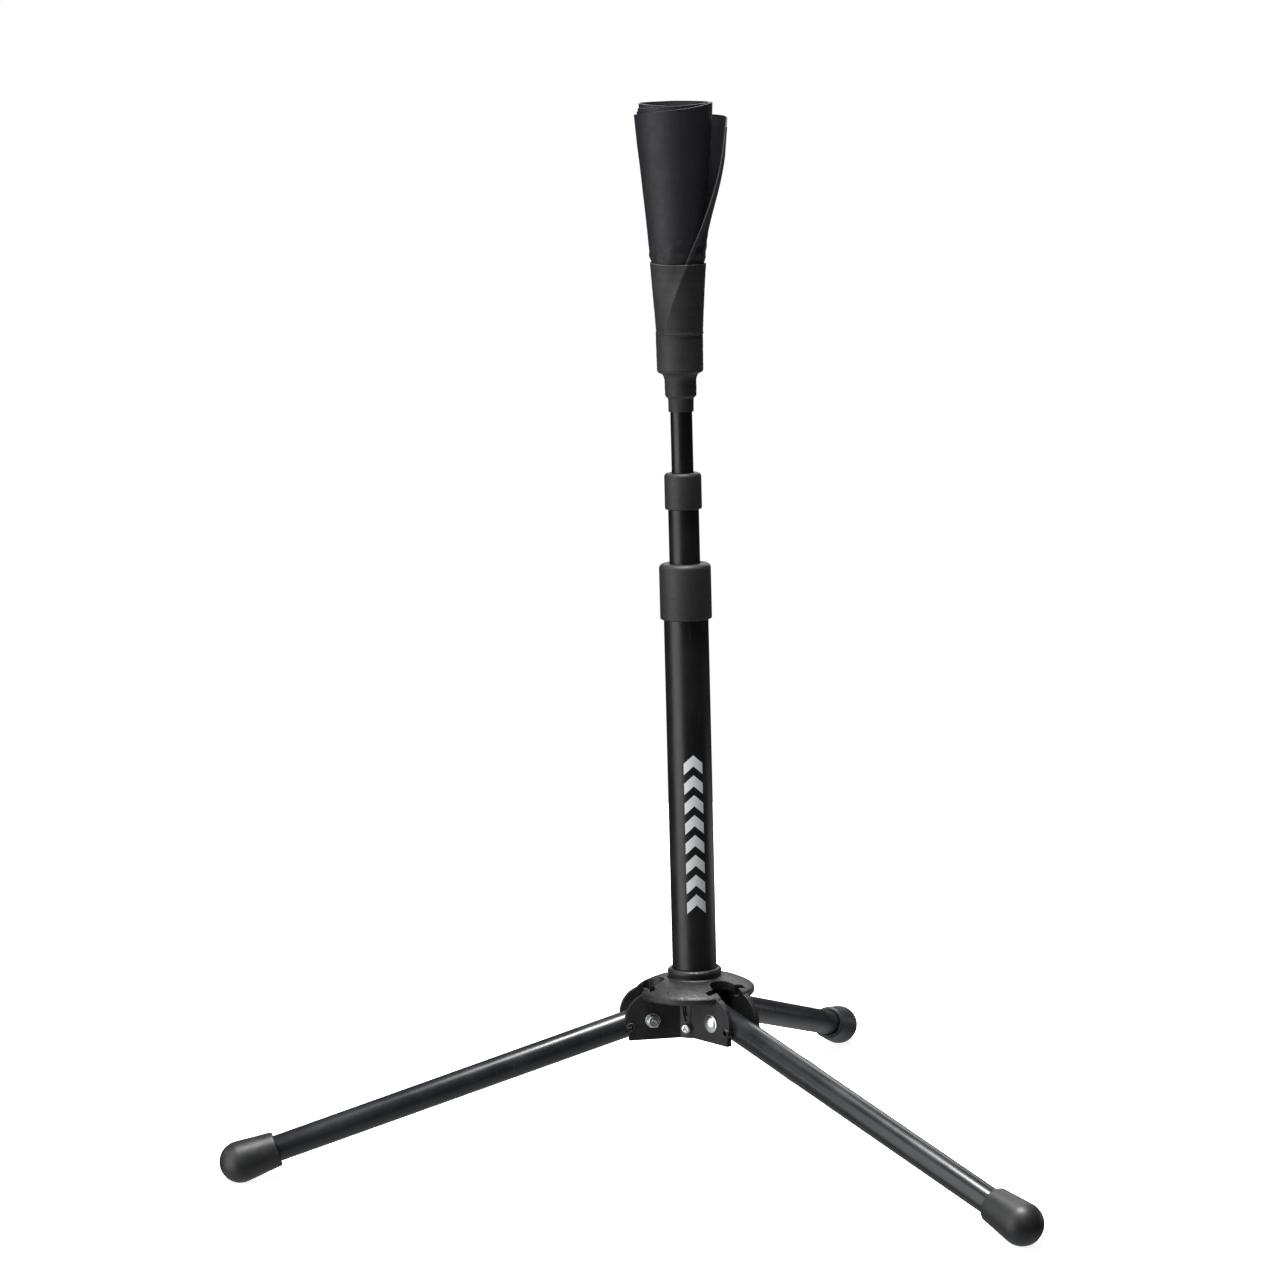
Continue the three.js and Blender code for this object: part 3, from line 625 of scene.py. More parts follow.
def hub_additions(leg):
    """The two walls of a leg's channel, each with the boss round its lock hole and the solid
    that closes its notch."""
    around = turn(leg_azimuth(leg))
    at_lock = around @ shifted(LOCK_HOLE_X, 0, LOCK_HOLE_Z) @ ALONG_Y
    inside = CHANNEL_HALF_WIDTH + 1
    boss_end = CHANNEL_OUTSIDE + LOCK_BOSS_HEIGHT
    pocket_end = CHANNEL_HALF_WIDTH + NOTCH_DEPTH + POCKET_WALL
    half = NOTCH_WIDTH / 2 + POCKET_WALL
    made = []
    for side in (-1, 1):
        low, high = sorted((-side * CHANNEL_HALF_WIDTH, -side * CHANNEL_OUTSIDE))
        made.append(raw_object("wall", extruded(wall_outline(), low, high), around @ UPRIGHT))
        low, high = sorted((side * inside, side * boss_end))
        made.append(raw_object("boss", pin(LOCK_BOSS_RADIUS, low, high), at_lock))
        low, high = sorted((side * inside, side * pocket_end))
        made.append(raw_object("pocket", block(
            PIVOT_RADIUS - half, PIVOT_RADIUS + half, low, high, POCKET_BOTTOM, POCKET_TOP,
        ), around))
    return made


def recess(place, low, tip, half_width, depth):
    """A cutter for a hollow in the socket that narrows down to a round tip."""
    outline = [*arc(0, low, tip, 180, 360, 12), (half_width, RECESS_TOP), (-half_width, RECESS_TOP)]
    return raw_object("recess", extruded(outline, SOCKET_RADIUS - depth, SOCKET_RADIUS + 3), place)


def hub_cuts(leg):
    """The slot through the dome, the bolt and lock holes, the square under the bolt's head,
    the notches that hold a folded leg, and the recess and the hole for a socket screw."""
    around = turn(leg_azimuth(leg))
    reach = CHANNEL_OUTSIDE + 2
    slot = [
        *arc(PIVOT_RADIUS - 1, 0, CHANNEL_HALF_WIDTH, 90, 270, 32),
        (RIM_RADIUS + 20, -CHANNEL_HALF_WIDTH),
        (RIM_RADIUS + 20, CHANNEL_HALF_WIDTH),
    ]
    half = BOLT_SQUARE / 2 + GAP
    at_pivot = around @ shifted(PIVOT_RADIUS, 0, PIVOT_HEIGHT)
    at_lock = around @ shifted(LOCK_HOLE_X, 0, LOCK_HOLE_Z)
    notch = NOTCH_WIDTH / 2
    beside = turn(leg_azimuth(leg) + math.pi / 3)
    facing_out = beside @ Matrix.Rotation(math.pi / 2, 4, "Z") @ UPRIGHT
    return [
        raw_object("slot", extruded(slot, HUB_BOTTOM - PAST, BEAD_TOP + PAST), around),
        raw_object("bolt_hole", pin(BOLT_RADIUS + GAP, 0, reach), at_pivot @ ALONG_Y),
        raw_object("square", block(-half, half, -reach, 0, -half, half), at_pivot),
        raw_object("lock_hole", pin(LOCK_HOLE_RADIUS, -reach, reach), at_lock @ ALONG_Y),
        raw_object("notch", block(
            PIVOT_RADIUS - notch, PIVOT_RADIUS + notch,
            -CHANNEL_HALF_WIDTH - NOTCH_DEPTH, CHANNEL_HALF_WIDTH + NOTCH_DEPTH,
            NOTCH_FLOOR, BEAD_TOP,
        ), around),
        recess(facing_out, low=101.8, tip=1.2, half_width=3.9, depth=1.0),
        recess(facing_out, low=105.0, tip=0.8, half_width=2.0, depth=2.2),
        raw_object(
            "screw_hole", pin(SCREW_SHANK_RADIUS + GAP, 0, SOCKET_RADIUS + PAST),
            beside @ shifted(0, 0, SCREW_HEIGHT) @ ALONG_X,
        ),
    ]


def make_hub():
    made = raw_object("hub_surface", turned(socket_profile()))
    added = [raw_object("dome", turned(dome_profile()))]
    bore = pin(MAIN_RADIUS + GAP, HUB_BOTTOM - PAST, BEAD_TOP + PAST, FINE)
    cuts = [raw_object("bore", bore)]
    for leg in LEGS:
        added += hub_additions(leg)
        cuts += hub_cuts(leg)
    combine(made, added, "UNION")
    combine(made, cuts, "DIFFERENCE")
    soften(made, voxel=0.3, passes=2, faces=170000)
    made.data.transform(COLUMN)
    finish_piece(made, "hub", "black_nylon", HUB_NYLON)


# ---- column

MAIN_WALL = 1.5
MID_WALL = 1.2
TOP_WALL = 1.0
PRINT_BOTTOM = 185
PRINT_SHIFT = math.radians(8.6)  # round from the side that faces the camera


def tube_profile(radius, wall, bottom, top):
    """A tube's wall with its four edges rounded."""
    edge = wall * 0.35
    return rounded([
        (radius - wall, bottom, edge), (radius, bottom, edge),
        (radius, top, edge), (radius - wall, top, edge),
    ])


def make_column_tube(node, radius, wall, bottom, top, material):
    made = raw_object(node, turned(tube_profile(radius, wall, bottom, top)), COLUMN)
    finish_piece(made, node, "powder_coat", material)
    return made


def store(mesh, name, values):
    """Stores a vector on each vertex, for a material to read."""
    attribute = mesh.attributes.new(name, "FLOAT_VECTOR", "POINT")
    attribute.data.foreach_set("vector", np.asarray(values, np.float32).ravel())


def make_main_tube():
    """The main tube, with each point's distance from the print's foot stored on it."""
    made = make_column_tube(
        "main_tube", MAIN_RADIUS, MAIN_WALL, MAIN_BOTTOM, MAIN_TOP, PRINTED_COAT,
    )
    facing = direction(VIEW_AZIMUTH, 0)
    middle = math.atan2(facing.y, facing.x) + PRINT_SHIFT
    stored = []
    for vertex in made.data.vertices:
        place = (vertex.co - COLUMN_AXIS) / MM
        angle = math.atan2(place.y, place.x) - middle
        angle = (angle + math.pi) % (2 * math.pi) - math.pi
        stored.append((angle * MAIN_RADIUS, place.z - PRINT_BOTTOM, 0))
    store(made.data, "print_place", stored)


def make_collar(node, radius, bottom, top, bore, mouth, shelf, top_round):
    """A collar over one tube's end that closes in on the next tube at its top."""
    profile = rounded([
        (bore, bottom, 0.4), (radius, bottom, 1.0), (radius, top, top_round),
        (mouth, top, 0.5), (mouth, shelf), (bore, shelf),
    ], 8)
    made = raw_object(node, turned(profile), COLUMN)
    finish_piece(made, node, "black_nylon", COLLAR_NYLON)


def make_end_cap():
    inside = MAIN_RADIUS - MAIN_WALL - GAP
    bottom = HUB_BOTTOM + 0.3
    profile = rounded([
        (0, bottom + 1.2), (MAIN_RADIUS - 5, bottom + 1.2, 0.3), (MAIN_RADIUS - 5, bottom, 0.3),
        (MAIN_RADIUS, bottom, 1.0), (MAIN_RADIUS, MAIN_BOTTOM - GAP), (inside, MAIN_BOTTOM - GAP),
        (inside, MAIN_BOTTOM + 2.4, 0.5), (0, MAIN_BOTTOM + 2.4),
    ])
    made = raw_object("cap", turned(profile, closed=False), COLUMN)
    finish_piece(made, "main_tube_end_cap", "inner_plastic", INNER_PLASTIC)


def make_column():
    make_main_tube()
    make_column_tube("mid_tube", MID_RADIUS, MID_WALL, MID_BOTTOM, MID_TOP, COLUMN_COAT)
    make_column_tube("top_tube", TOP_RADIUS, TOP_WALL, TOP_BOTTOM, TOP_TOP, COLUMN_COAT)
    make_collar(
        "lower_collar", LOWER_RADIUS, LOWER_BOTTOM, LOWER_TOP,
        MAIN_RADIUS + GAP, MID_RADIUS + GAP, MAIN_TOP + GAP, 3.3,
    )
    make_collar(
        "upper_collar", UPPER_RADIUS, UPPER_BOTTOM, UPPER_TOP,
        MID_RADIUS + GAP, TOP_RADIUS + GAP, MID_TOP + GAP, 2.6,
    )
    make_end_cap()


# ---- legs

LEG_RADIUS = 9.5
LEG_WALL = 1.2
LEG_INNER_END = -8
FOOT_BALL_RADIUS = 15
FOOT_LENGTH = 43
FOOT_TAPER = math.radians(4.8)
FOOT_FLOOR_THICKNESS = 21
FOOT_MOUTH_ROUNDING = 1.5
FOOT_WASHER_THICKNESS = 1.6
FOOT_TIP = LEG_REACH + FOOT_BALL_RADIUS
LEG_OUTER_END = FOOT_TIP - FOOT_FLOOR_THICKNESS - FOOT_WASHER_THICKNESS - 2 * GAP
BUTTON_RADIUS = 1.75
BUTTON_TIP = 10
BUTTON_FLANGE_RADIUS = 2.6
BUTTON_BASE = 6
SPRING_WIDTH = 6
SPRING_THICKNESS = 0.7
SPRING_LENGTH = 30
SPRING_FLAT = 3.5  # each way from the button
SPRING_BEND = 3.2  # radius
SPRING_STEPS = 16


def make_leg_tube(leg):
    place = leg_place(leg)
    profile = tube_profile(LEG_RADIUS, LEG_WALL, LEG_INNER_END, LEG_OUTER_END)
    made = raw_object("leg_tube", turned(profile), ALONG_X)
    reach = LEG_RADIUS + PAST
    at_lock = shifted(LOCK_DISTANCE, 0, 0) @ ALONG_Y
    combine(made, [
        raw_object("bolt_hole", pin(BOLT_RADIUS + GAP, -reach, reach), ALONG_Y),
        raw_object("button_hole", pin(BUTTON_RADIUS + GAP, -reach, reach), at_lock),
    ], "DIFFERENCE")
    made.data.transform(place)
    finish_piece(made, f"leg_tube_{leg}", "powder_coat", LEG_COAT_PAINTED_REFLECTION)


def make_leg_end_plug(leg):
    flange = LEG_INNER_END - GAP
    body = LEG_RADIUS - LEG_WALL - GAP
    profile = rounded([
        (0, flange - 1.4), (LEG_RADIUS - 0.3, flange - 1.4, 0.9), (LEG_RADIUS - 0.3, flange, 0.2),
        (body, flange), (body, flange + 4.2, 0.4), (0, flange + 4.2),
    ])
    made = raw_object("plug", turned(profile, SMALL * 2, closed=False), leg_place(leg) @ ALONG_X)
    finish_piece(made, f"leg_end_plug_{leg}", "inner_plastic", INNER_PLASTIC)


def foot_profile():
    """A socket that widens a little from its rounded mouth to the ball at its end."""
    bore = LEG_RADIUS + GAP
    mouth = FOOT_TIP - FOOT_LENGTH
    tangent = LEG_REACH - FOOT_BALL_RADIUS * math.sin(FOOT_TAPER)
    widest = FOOT_BALL_RADIUS * math.cos(FOOT_TAPER)
    mouth_radius = widest - (tangent - mouth) * math.tan(FOOT_TAPER)
    floor = FOOT_TIP - FOOT_FLOOR_THICKNESS
    edge = FOOT_MOUTH_ROUNDING
    side = np.linspace((mouth_radius, mouth + edge), (widest, tangent), 7)[1:-1]
    return [
        (0, floor),
        (bore, floor),
        (bore, mouth + 0.4),
        (bore + 0.4, mouth),
        *arc(mouth_radius - edge, mouth + edge, edge, -90, 0, 6),
        *side,
        *arc(0, LEG_REACH, FOOT_BALL_RADIUS, -math.degrees(FOOT_TAPER), 90, 28),
    ]


def make_foot(leg):
    """A rubber foot, flat where it meets the floor."""
    made = raw_object("foot", turned(foot_profile(), closed=False), leg_place(leg) @ ALONG_X)
    for vertex in made.data.vertices:
        vertex.co.z = max(vertex.co.z, 0)
    finish_piece(made, f"foot_{leg}", "foot_rubber", FOOT_RUBBER)


def make_button(leg, side, sign):
    flange_top = BUTTON_BASE + 0.9
    profile = rounded([
        (0, BUTTON_BASE), (BUTTON_FLANGE_RADIUS, BUTTON_BASE),
        (BUTTON_FLANGE_RADIUS, flange_top, 0.2), (BUTTON_RADIUS, flange_top),
        (BUTTON_RADIUS, BUTTON_TIP, 1.0), (0, BUTTON_TIP),
    ])
    place = leg_place(leg) @ shifted(LOCK_DISTANCE, 0, 0)
    if sign < 0:
        place = place @ turn(math.pi)
    made = raw_object("button", turned(profile, SMALL, closed=False), place @ ALONG_Y)
    finish_piece(made, f"snap_button_{leg}_{side}", "zinc_steel", ZINC)


def make_spring_arm(leg, side, sign):
    """One arm of the snap spring, with its half of the bend."""
    arm = BUTTON_BASE - GAP - SPRING_THICKNESS / 2
    bend = LOCK_DISTANCE + SPRING_LENGTH
    flat_end = LOCK_DISTANCE + SPRING_FLAT
    half = SPRING_WIDTH / 2
    vertices = []
    for offset, heights in ((1, (half, -half)), (-1, (-half, half))):
        offset *= SPRING_THICKNESS / 2
        slope = np.linspace((flat_end, arm + offset), (bend, SPRING_BEND + offset), SPRING_STEPS + 1)
        edge = [
            (LOCK_DISTANCE - SPRING_FLAT, arm + offset), *slope[:-1],
            *arc(bend, 0, SPRING_BEND + offset, 90, 1, 10),
        ]
        for height in heights:
            vertices += [(x, y, height) for x, y in edge]
    count = len(edge)
    faces = [tuple(k * count for k in range(4)), tuple((4 - k) * count - 1 for k in range(4))]
    for k in range(4):
        low, high = k * count, (k + 1) % 4 * count
        faces += [(low + i, low + i + 1, high + i + 1, high + i) for i in range(count - 1)]
    place = leg_place(leg)
    turned_over = Matrix() if sign > 0 else Matrix.Rotation(math.pi, 4, "X")
    made = raw_object("arm", (vertices, faces), place @ turned_over)
    dress(made, f"snap_spring_{leg}_{side}_arm", SPRING_STEEL)
    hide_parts(f"snap_spring_{leg}")
    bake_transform(made)


# ---- fasteners

BOLT_HEAD_RADIUS = 6.5
BOLT_HEAD_HEIGHT = 3
WASHER_RADIUS = 5.4
WASHER_THICKNESS = 1
NUT_ACROSS_FLATS = 8.6
NUT_HEIGHT = 5
BOLT_STAND_OUT = 1.5
THREAD_PITCH = 0.8
THREAD_DEPTH = 0.3
SCREW_HEAD_RADIUS = 3.5
SCREW_HEAD_HEIGHT = 2.2
SCREW_TIP = 12.6
CROSS_TURN = 0.5
CROSS_DEPTH = 1.4
CROSS_FLOOR = (0.6, 0.4)  # half the length and half the width of a slot
CROSS_MOUTH = (2.3, 0.62)


def pivot_place(leg):
    return station(leg) @ shifted(PIVOT_RADIUS, 0, PIVOT_HEIGHT) @ ALONG_Y


def threads(radius, start, end):
    """The profile of a threaded stretch."""
    count = int((end - start) / THREAD_PITCH)
    points = []
    for i in range(count):
        low = start + i * THREAD_PITCH
        points.append((radius - THREAD_DEPTH, low))
        points.append((radius, low + 0.35 * THREAD_PITCH))
        points.append((radius, low + 0.6 * THREAD_PITCH))
    return points


def make_pivot_bolt(leg):
    """A carriage bolt: a low dome, a square neck and a threaded shank with a dished end."""
    seat = -CHANNEL_OUTSIDE - GAP
    end = CHANNEL_OUTSIDE + GAP + WASHER_THICKNESS + GAP + NUT_HEIGHT + BOLT_STAND_OUT
    sphere = (BOLT_HEAD_RADIUS ** 2 + BOLT_HEAD_HEIGHT ** 2) / (2 * BOLT_HEAD_HEIGHT)
    spread_angle = math.degrees(math.asin(BOLT_HEAD_RADIUS / sphere))
    crown = seat - BOLT_HEAD_HEIGHT + sphere
    dome = arc(0, crown, sphere, -90, -90 + spread_angle - 4, 14)
    profile = [
        *dome,
        (BOLT_HEAD_RADIUS, seat - 0.35),
        (BOLT_HEAD_RADIUS - 0.2, seat),
        (BOLT_RADIUS, seat),
        (BOLT_RADIUS, CHANNEL_HALF_WIDTH),
        *threads(BOLT_RADIUS, CHANNEL_HALF_WIDTH, end - 0.7),
        (BOLT_RADIUS - 0.6, end),
        (1.3, end),
        (1.0, end - 0.7),
        (0, end - 0.9),
    ]
    made = raw_object("bolt", turned(profile, SMALL, closed=False))
    half = BOLT_SQUARE / 2
    neck = raw_object("neck", block(-half, half, -half, half, seat - 0.5, seat + WALL_THICKNESS - 1))
    combine(made, [neck], "UNION")
    made.data.transform(pivot_place(leg))
    finish_piece(made, f"pivot_bolt_{leg}", "zinc_steel", ZINC)


def make_pivot_washer(leg):
    start = CHANNEL_OUTSIDE + GAP
    inner = BOLT_RADIUS + GAP
    profile = rounded([
        (inner, start, 0.15), (WASHER_RADIUS, start, 0.15),
        (WASHER_RADIUS, start + WASHER_THICKNESS, 0.3), (inner, start + WASHER_THICKNESS, 0.2),
    ])
    made = raw_object("washer", turned(profile, SMALL * 2), pivot_place(leg))
    finish_piece(made, f"pivot_washer_{leg}", "zinc_steel", ZINC)


def make_pivot_nut(leg):
    """A lock nut: a chamfered hexagon under a rounded collar."""
    start = CHANNEL_OUTSIDE + 2 * GAP + WASHER_THICKNESS
    shoulder = start + NUT_HEIGHT - 1.4
    top = start + NUT_HEIGHT
    corner = NUT_ACROSS_FLATS / math.sqrt(3)
    hexagon = arc(0, 0, corner, 0, 300, 5)
    made = raw_object("nut", extruded(hexagon, start, shoulder))
    chamfer = turned([
        (0, start), (corner - 0.5, start), (corner + 0.02, start + 0.45),
        (corner + 0.02, shoulder - 0.45), (corner - 0.7, shoulder), (0, shoulder),
    ], SMALL * 2, closed=False)
    combine(made, [raw_object("chamfer", chamfer)], "INTERSECT")
    collar_radius = NUT_ACROSS_FLATS / 2 - 0.15
    collar = turned(rounded([
        (0, start + 1), (collar_radius, start + 1), (collar_radius, top, 0.7),
        (BOLT_RADIUS + 0.9, top, 0.3), (BOLT_RADIUS + 0.7, top - 0.8), (0, top - 0.8),
    ], 5), SMALL * 2, closed=False)
    combine(made, [raw_object("collar", collar)], "UNION")
    hole = pin(BOLT_RADIUS + GAP, 0, top + 5)
    combine(made, [raw_object("hole", hole)], "DIFFERENCE")
    made.data.transform(pivot_place(leg))
    finish_piece(made, f"pivot_nut_{leg}", "zinc_steel", ZINC)


def cross_recess(top):
    """The two tapered slots of a cross recess."""
    shapes = []
    for turned_by in (CROSS_TURN, CROSS_TURN + math.pi / 2):
        vertices = []
        for z, x, y in ((top - CROSS_DEPTH, *CROSS_FLOOR), (top + 0.2, *CROSS_MOUTH)):
            vertices += [(-x, -y, z), (x, -y, z), (x, y, z), (-x, y, z)]
        faces = [(3, 2, 1, 0), (4, 5, 6, 7), (0, 1, 5, 4), (1, 2, 6, 5), (2, 3, 7, 6), (3, 0, 4, 7)]
        shapes.append(raw_object("slot", (vertices, faces), turn(turned_by)))
    return shapes


def make_socket_screw(leg):
    """A pan-head screw through the socket into the tube."""
    seat = SOCKET_RADIUS + GAP
    top = seat + SCREW_HEAD_HEIGHT
    profile = rounded([
        (0, SCREW_TIP), (SCREW_SHANK_RADIUS, SCREW_TIP + 1.5), (SCREW_SHANK_RADIUS, seat),
        (SCREW_HEAD_RADIUS, seat, 0.25), (SCREW_HEAD_RADIUS, top, 1.4), (0, top),
    ], 8)
    made = raw_object("screw", turned(profile, SMALL, closed=False))
    combine(made, cross_recess(top), "DIFFERENCE")
    around = turn(leg_azimuth(leg) + math.pi / 3)
    made.data.transform(COLUMN @ around @ shifted(0, 0, SCREW_HEIGHT) @ ALONG_X)
    finish_piece(made, f"socket_screw_{leg}", "zinc_steel", ZINC)


def make_legs():
    for leg in LEGS:
        make_leg_tube(leg)
        make_leg_end_plug(leg)
        make_foot(leg)
        make_button(leg, "left", 1)
        make_button(leg, "right", -1)
        make_spring_arm(leg, "left", 1)
        make_spring_arm(leg, "right", -1)
        make_pivot_bolt(leg)
        make_pivot_washer(leg)
        make_pivot_nut(leg)
        make_socket_screw(leg)


# ---- ball rest

ROLL_BOTTOM_RADIUS = 15.6
ROLL_SLEEVE_RADIUS = 19.1
ROLL_BULGE_RADIUS = 20.2  # just above the sleeve
ROLL_TOP_RADIUS = 28.2
SHEET_THICKNESS = 0.8
LAYER_PITCH = 0.95  # from one turn of the sheet to the next
TURNS = 3.72
SHEET_COLUMNS = 340
SHEET_ROWS = 84
FLAP_STAND_OFF = 10
FLAP_HEIGHTS = (652, 722)  # over which the loose flap comes away from the roll
FLAP_TURNS = (0.06, 0.36)  # over which it comes back to the roll
SECOND_STAND_OFF = 1.3  # of the turn behind the flap
CREASE_DEPTH = 0.9
CREASE_HEIGHTS = (650, 674)  # over which the creases above the sleeve die away
SWAY_DEPTH = 0.35
SWAY_HEIGHTS = (662, ROLL_TOP - 12)
RIPPLE_RADIUS = 22  # about the roll's, so that a ripple is as wide as it's high
HEM_WIDTH = 4.2
HEM_COLUMNS = 10
HEM_RADIUS = 26  # of the roll, about where the hem shows
HEM_OVERHANG = 0.0035  # of a turn, past the sheet's edge
HEM_TOP = 0.955  # of the sheet's height
HEM_STAND_OUT = 0.7
NECK_RADIUS = 15.4
EDGE_STAND_OUT = 0.75  # of the sleeve, over the sheet's stiff loose edge
SLEEVE_COLUMNS = 240
SLEEVE_SKIN = 0.8
RIM_DROP = 0.85
RIM_TURN = math.radians(15)

# Height of the sheet's top edge, by turns inwards from its loose outer edge.
TOP_EDGE = [
    (0.0, 746.0), (0.12, 748.1), (0.3, 749.0), (0.5, 749.3), (0.6, 750.3), (0.72, 752.1),
    (0.8, 753.0), (0.89, 755.2), (1.0, 757.3), (1.25, 756.6), (1.5, 751.4), (1.62, 752.8),
    (1.68, 754.7), (1.82, 755.6), (1.96, 757.1), (2.25, 757.0), (2.5, 753.8), (2.75, 754.6),
    (3.0, 757.2), (3.25, 758.3), (3.5, 757.7), (3.72, 755.5),
]

# Where the loose edge runs, as its height and its direction in degrees.
LOOSE_EDGE = [
    (ROLL_BOTTOM, -112), (620, -80), (641, -55), (654, -41), (662, -28), (672, -17), (691, -6),
    (720, 2), (ROLL_TOP, 18),
]


def eased(value, start, end):
    """From 0 at start to 1 at end, smoothly."""
    share = np.clip((value - start) / (end - start), 0, 1)
    return share * share * (3 - 2 * share)


def followed(places, value, rounding):
    """The line through some places, with its corners rounded over this distance each way."""
    across, along = zip(*places)
    shifts = np.linspace(-rounding, rounding, 9)
    return np.mean([np.interp(value + shift, across, along) for shift in shifts], axis=0)


def edge_azimuth(height):
    """Where the sheet's loose edge runs at a height, as it winds round the cone."""
    return np.radians(followed(LOOSE_EDGE, height, 7))


def roll_radius(height):
    """The outside of the roll, gripped below the sleeve's top and flaring above it."""
    return np.interp(
        height, [ROLL_BOTTOM, SLEEVE_TOP, SLEEVE_TOP + 4, ROLL_TOP],
        [ROLL_BOTTOM_RADIUS, ROLL_SLEEVE_RADIUS, ROLL_BULGE_RADIUS, ROLL_TOP_RADIUS],
    )


def ripple(azimuth, height, seed, scale):
    """Smooth noise on the roll, from -1 to 1, that joins up all the way round."""
    waves = []
    for a, h in zip(np.ravel(azimuth), np.ravel(height)):
        up = h * scale / RIPPLE_RADIUS + seed
        waves.append(noise.noise(Vector((math.cos(a) * scale, math.sin(a) * scale, up))))
    return np.reshape(waves, np.shape(azimuth))


def sheet_middle(turns, share):
    """Points in the middle of the sheet's thickness. turns runs inwards from the loose edge,
    and share runs up from the roll's bottom."""
    top = followed(TOP_EDGE, turns, 0.03)
    height = ROLL_BOTTOM + (top - ROLL_BOTTOM) * share
    azimuth = edge_azimuth(height) + 2 * math.pi * turns
    radius = roll_radius(height) - SHEET_THICKNESS / 2 - LAYER_PITCH * turns
    lift = eased(height, *SWAY_HEIGHTS)
    loose = 1 - eased(turns, *FLAP_TURNS)
    radius = radius + FLAP_STAND_OFF * eased(height, *FLAP_HEIGHTS) * loose
    behind = (1 - eased(turns, 0.36, 1.2)) * eased(turns, 0.06, 0.5)
    radius = radius + SECOND_STAND_OFF * lift * behind
    creases = ripple(azimuth, height, 3.1, 4.2) * CREASE_DEPTH * (1 - eased(height, *CREASE_HEIGHTS))
    creases = creases * eased(height, SLEEVE_TOP - 2, SLEEVE_TOP + 3) * (1 - eased(turns, 0.9, 1.1))
    sway = ripple(azimuth, height, 8.7, 1.3) * SWAY_DEPTH * lift
    radius = radius + creases + sway * (1 - eased(turns, 1.0, 1.4))
    return np.stack([radius * np.cos(azimuth), radius * np.sin(azimuth), height], -1)


def shell(points, thickness, places):
    """A thin solid about a grid of points: both faces and the four edges, with its places
    along and up the sheet on its vertices. Its edges' faces come after the others, which are
    counted."""
    along = np.gradient(points, axis=0)
    up = np.gradient(points, axis=1)
    normal = np.cross(along, up)
    normal /= np.linalg.norm(normal, axis=-1, keepdims=True)
    half = normal * thickness[..., None] / 2
    columns, rows = points.shape[:2]
    vertices = np.concatenate([(points + half).reshape(-1, 3), (points - half).reshape(-1, 3)])
    count = columns * rows
    index = np.arange(count).reshape(columns, rows)
    faces = []
    for i in range(columns - 1):
        for j in range(rows - 1):
            a, b, c, d = index[i, j], index[i + 1, j], index[i + 1, j + 1], index[i, j + 1]
            faces.append((a, b, c, d))
            faces.append((d + count, c + count, b + count, a + count))
    flat_faces = len(faces)
    rim = [*index[:, 0], *index[-1, 1:], *index[-2::-1, -1], *index[0, -2:0:-1]]
    for a, b in zip(rim, rim[1:] + rim[:1]):
        faces.append((b, a, a + count, b + count))
    return vertices, faces, flat_faces, np.concatenate([places.reshape(-1, 3)] * 2)


def make_shell(name, points, thickness, places):
    """A shell as a piece that carries its places, and how many of its faces aren't edges."""
    vertices, faces, flat_faces, stored = shell(points, thickness, places)
    made = raw_object(name, (vertices, faces), COLUMN)
    store(made.data, "sheet_place", stored)
    return made, flat_faces


def sheet_grid(turn_stops, share_stops):
    """The sheet's points at these stops, and its places along and up in millimetres."""
    turns, share = np.meshgrid(turn_stops, share_stops, indexing="ij")
    points = sheet_middle(turns, share)
    along = np.zeros(turns.shape)
    along[1:] = np.cumsum(np.linalg.norm(np.diff(points, axis=0), axis=-1), axis=0)
    up = points[..., 2] - ROLL_BOTTOM
    return points, np.stack([along, up, np.zeros(turns.shape)], -1)


def make_rolled_sheet():
    shares = np.linspace(0, 1, SHEET_ROWS)
    points, places = sheet_grid(np.linspace(0, TURNS, SHEET_COLUMNS), shares)
    thickness = np.full(points.shape[:2], SHEET_THICKNESS)
    made, flat_faces = make_shell("sheet", points, thickness, places)
    finish_piece(made, "ball_rest_roll", "rolled_sheet", ROLLED_SHEET, SHEET_EDGE_PAINTED_HIGHLIGHT)
    # The edge faces get the pale edge colour, a painted highlight.
    for polygon in made.data.polygons[flat_faces:]:
        polygon.material_index = 1
    hem = make_hem()


def make_hem():
    """The folded band along the sheet's loose edge, thinner at its two sides, in a paler cloth that
    is a painted highlight.
    """
    width = HEM_WIDTH / (2 * math.pi * HEM_RADIUS)
    stops = np.linspace(-HEM_OVERHANG, width, HEM_COLUMNS)
    points, places = sheet_grid(stops, np.linspace(0, HEM_TOP, SHEET_ROWS))
    column = np.arange(HEM_COLUMNS)
    swell = np.clip(np.minimum(column, column[::-1]) / 1.5, 0.15, 1)
    thickness = (SHEET_THICKNESS + HEM_STAND_OUT * swell)[:, None] * np.ones((1, SHEET_ROWS))
    made, _ = make_shell("hem", points, thickness, places)
    # The paler hem cloth is a painted highlight.
    dress(made, "ball_rest_hem", HEM_PAINTED_HIGHLIGHT)
    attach(made, frame["nodes"]["ball_rest_roll"]["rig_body"])
    return made


def neck_profile():
    """Three steps up from the top tube to the core that the roll is wound on."""
    bore = TOP_RADIUS + GAP
    return rounded([
        (0, TOP_TOP + GAP), (bore, TOP_TOP + GAP), (bore, 551.6), (9.9, 551.6, 0.4),
        (9.9, 563, 2), (10.7, 566, 1.5), (14.2, 569, 0.8), (15, 570.5, 0.8),
        (NECK_RADIUS, ROLL_BOTTOM - 2 * GAP, 0.3), (11.6, ROLL_BOTTOM - 2 * GAP),
        (13.6, POST_TOP, 0.8), (0, POST_TOP),
    ])


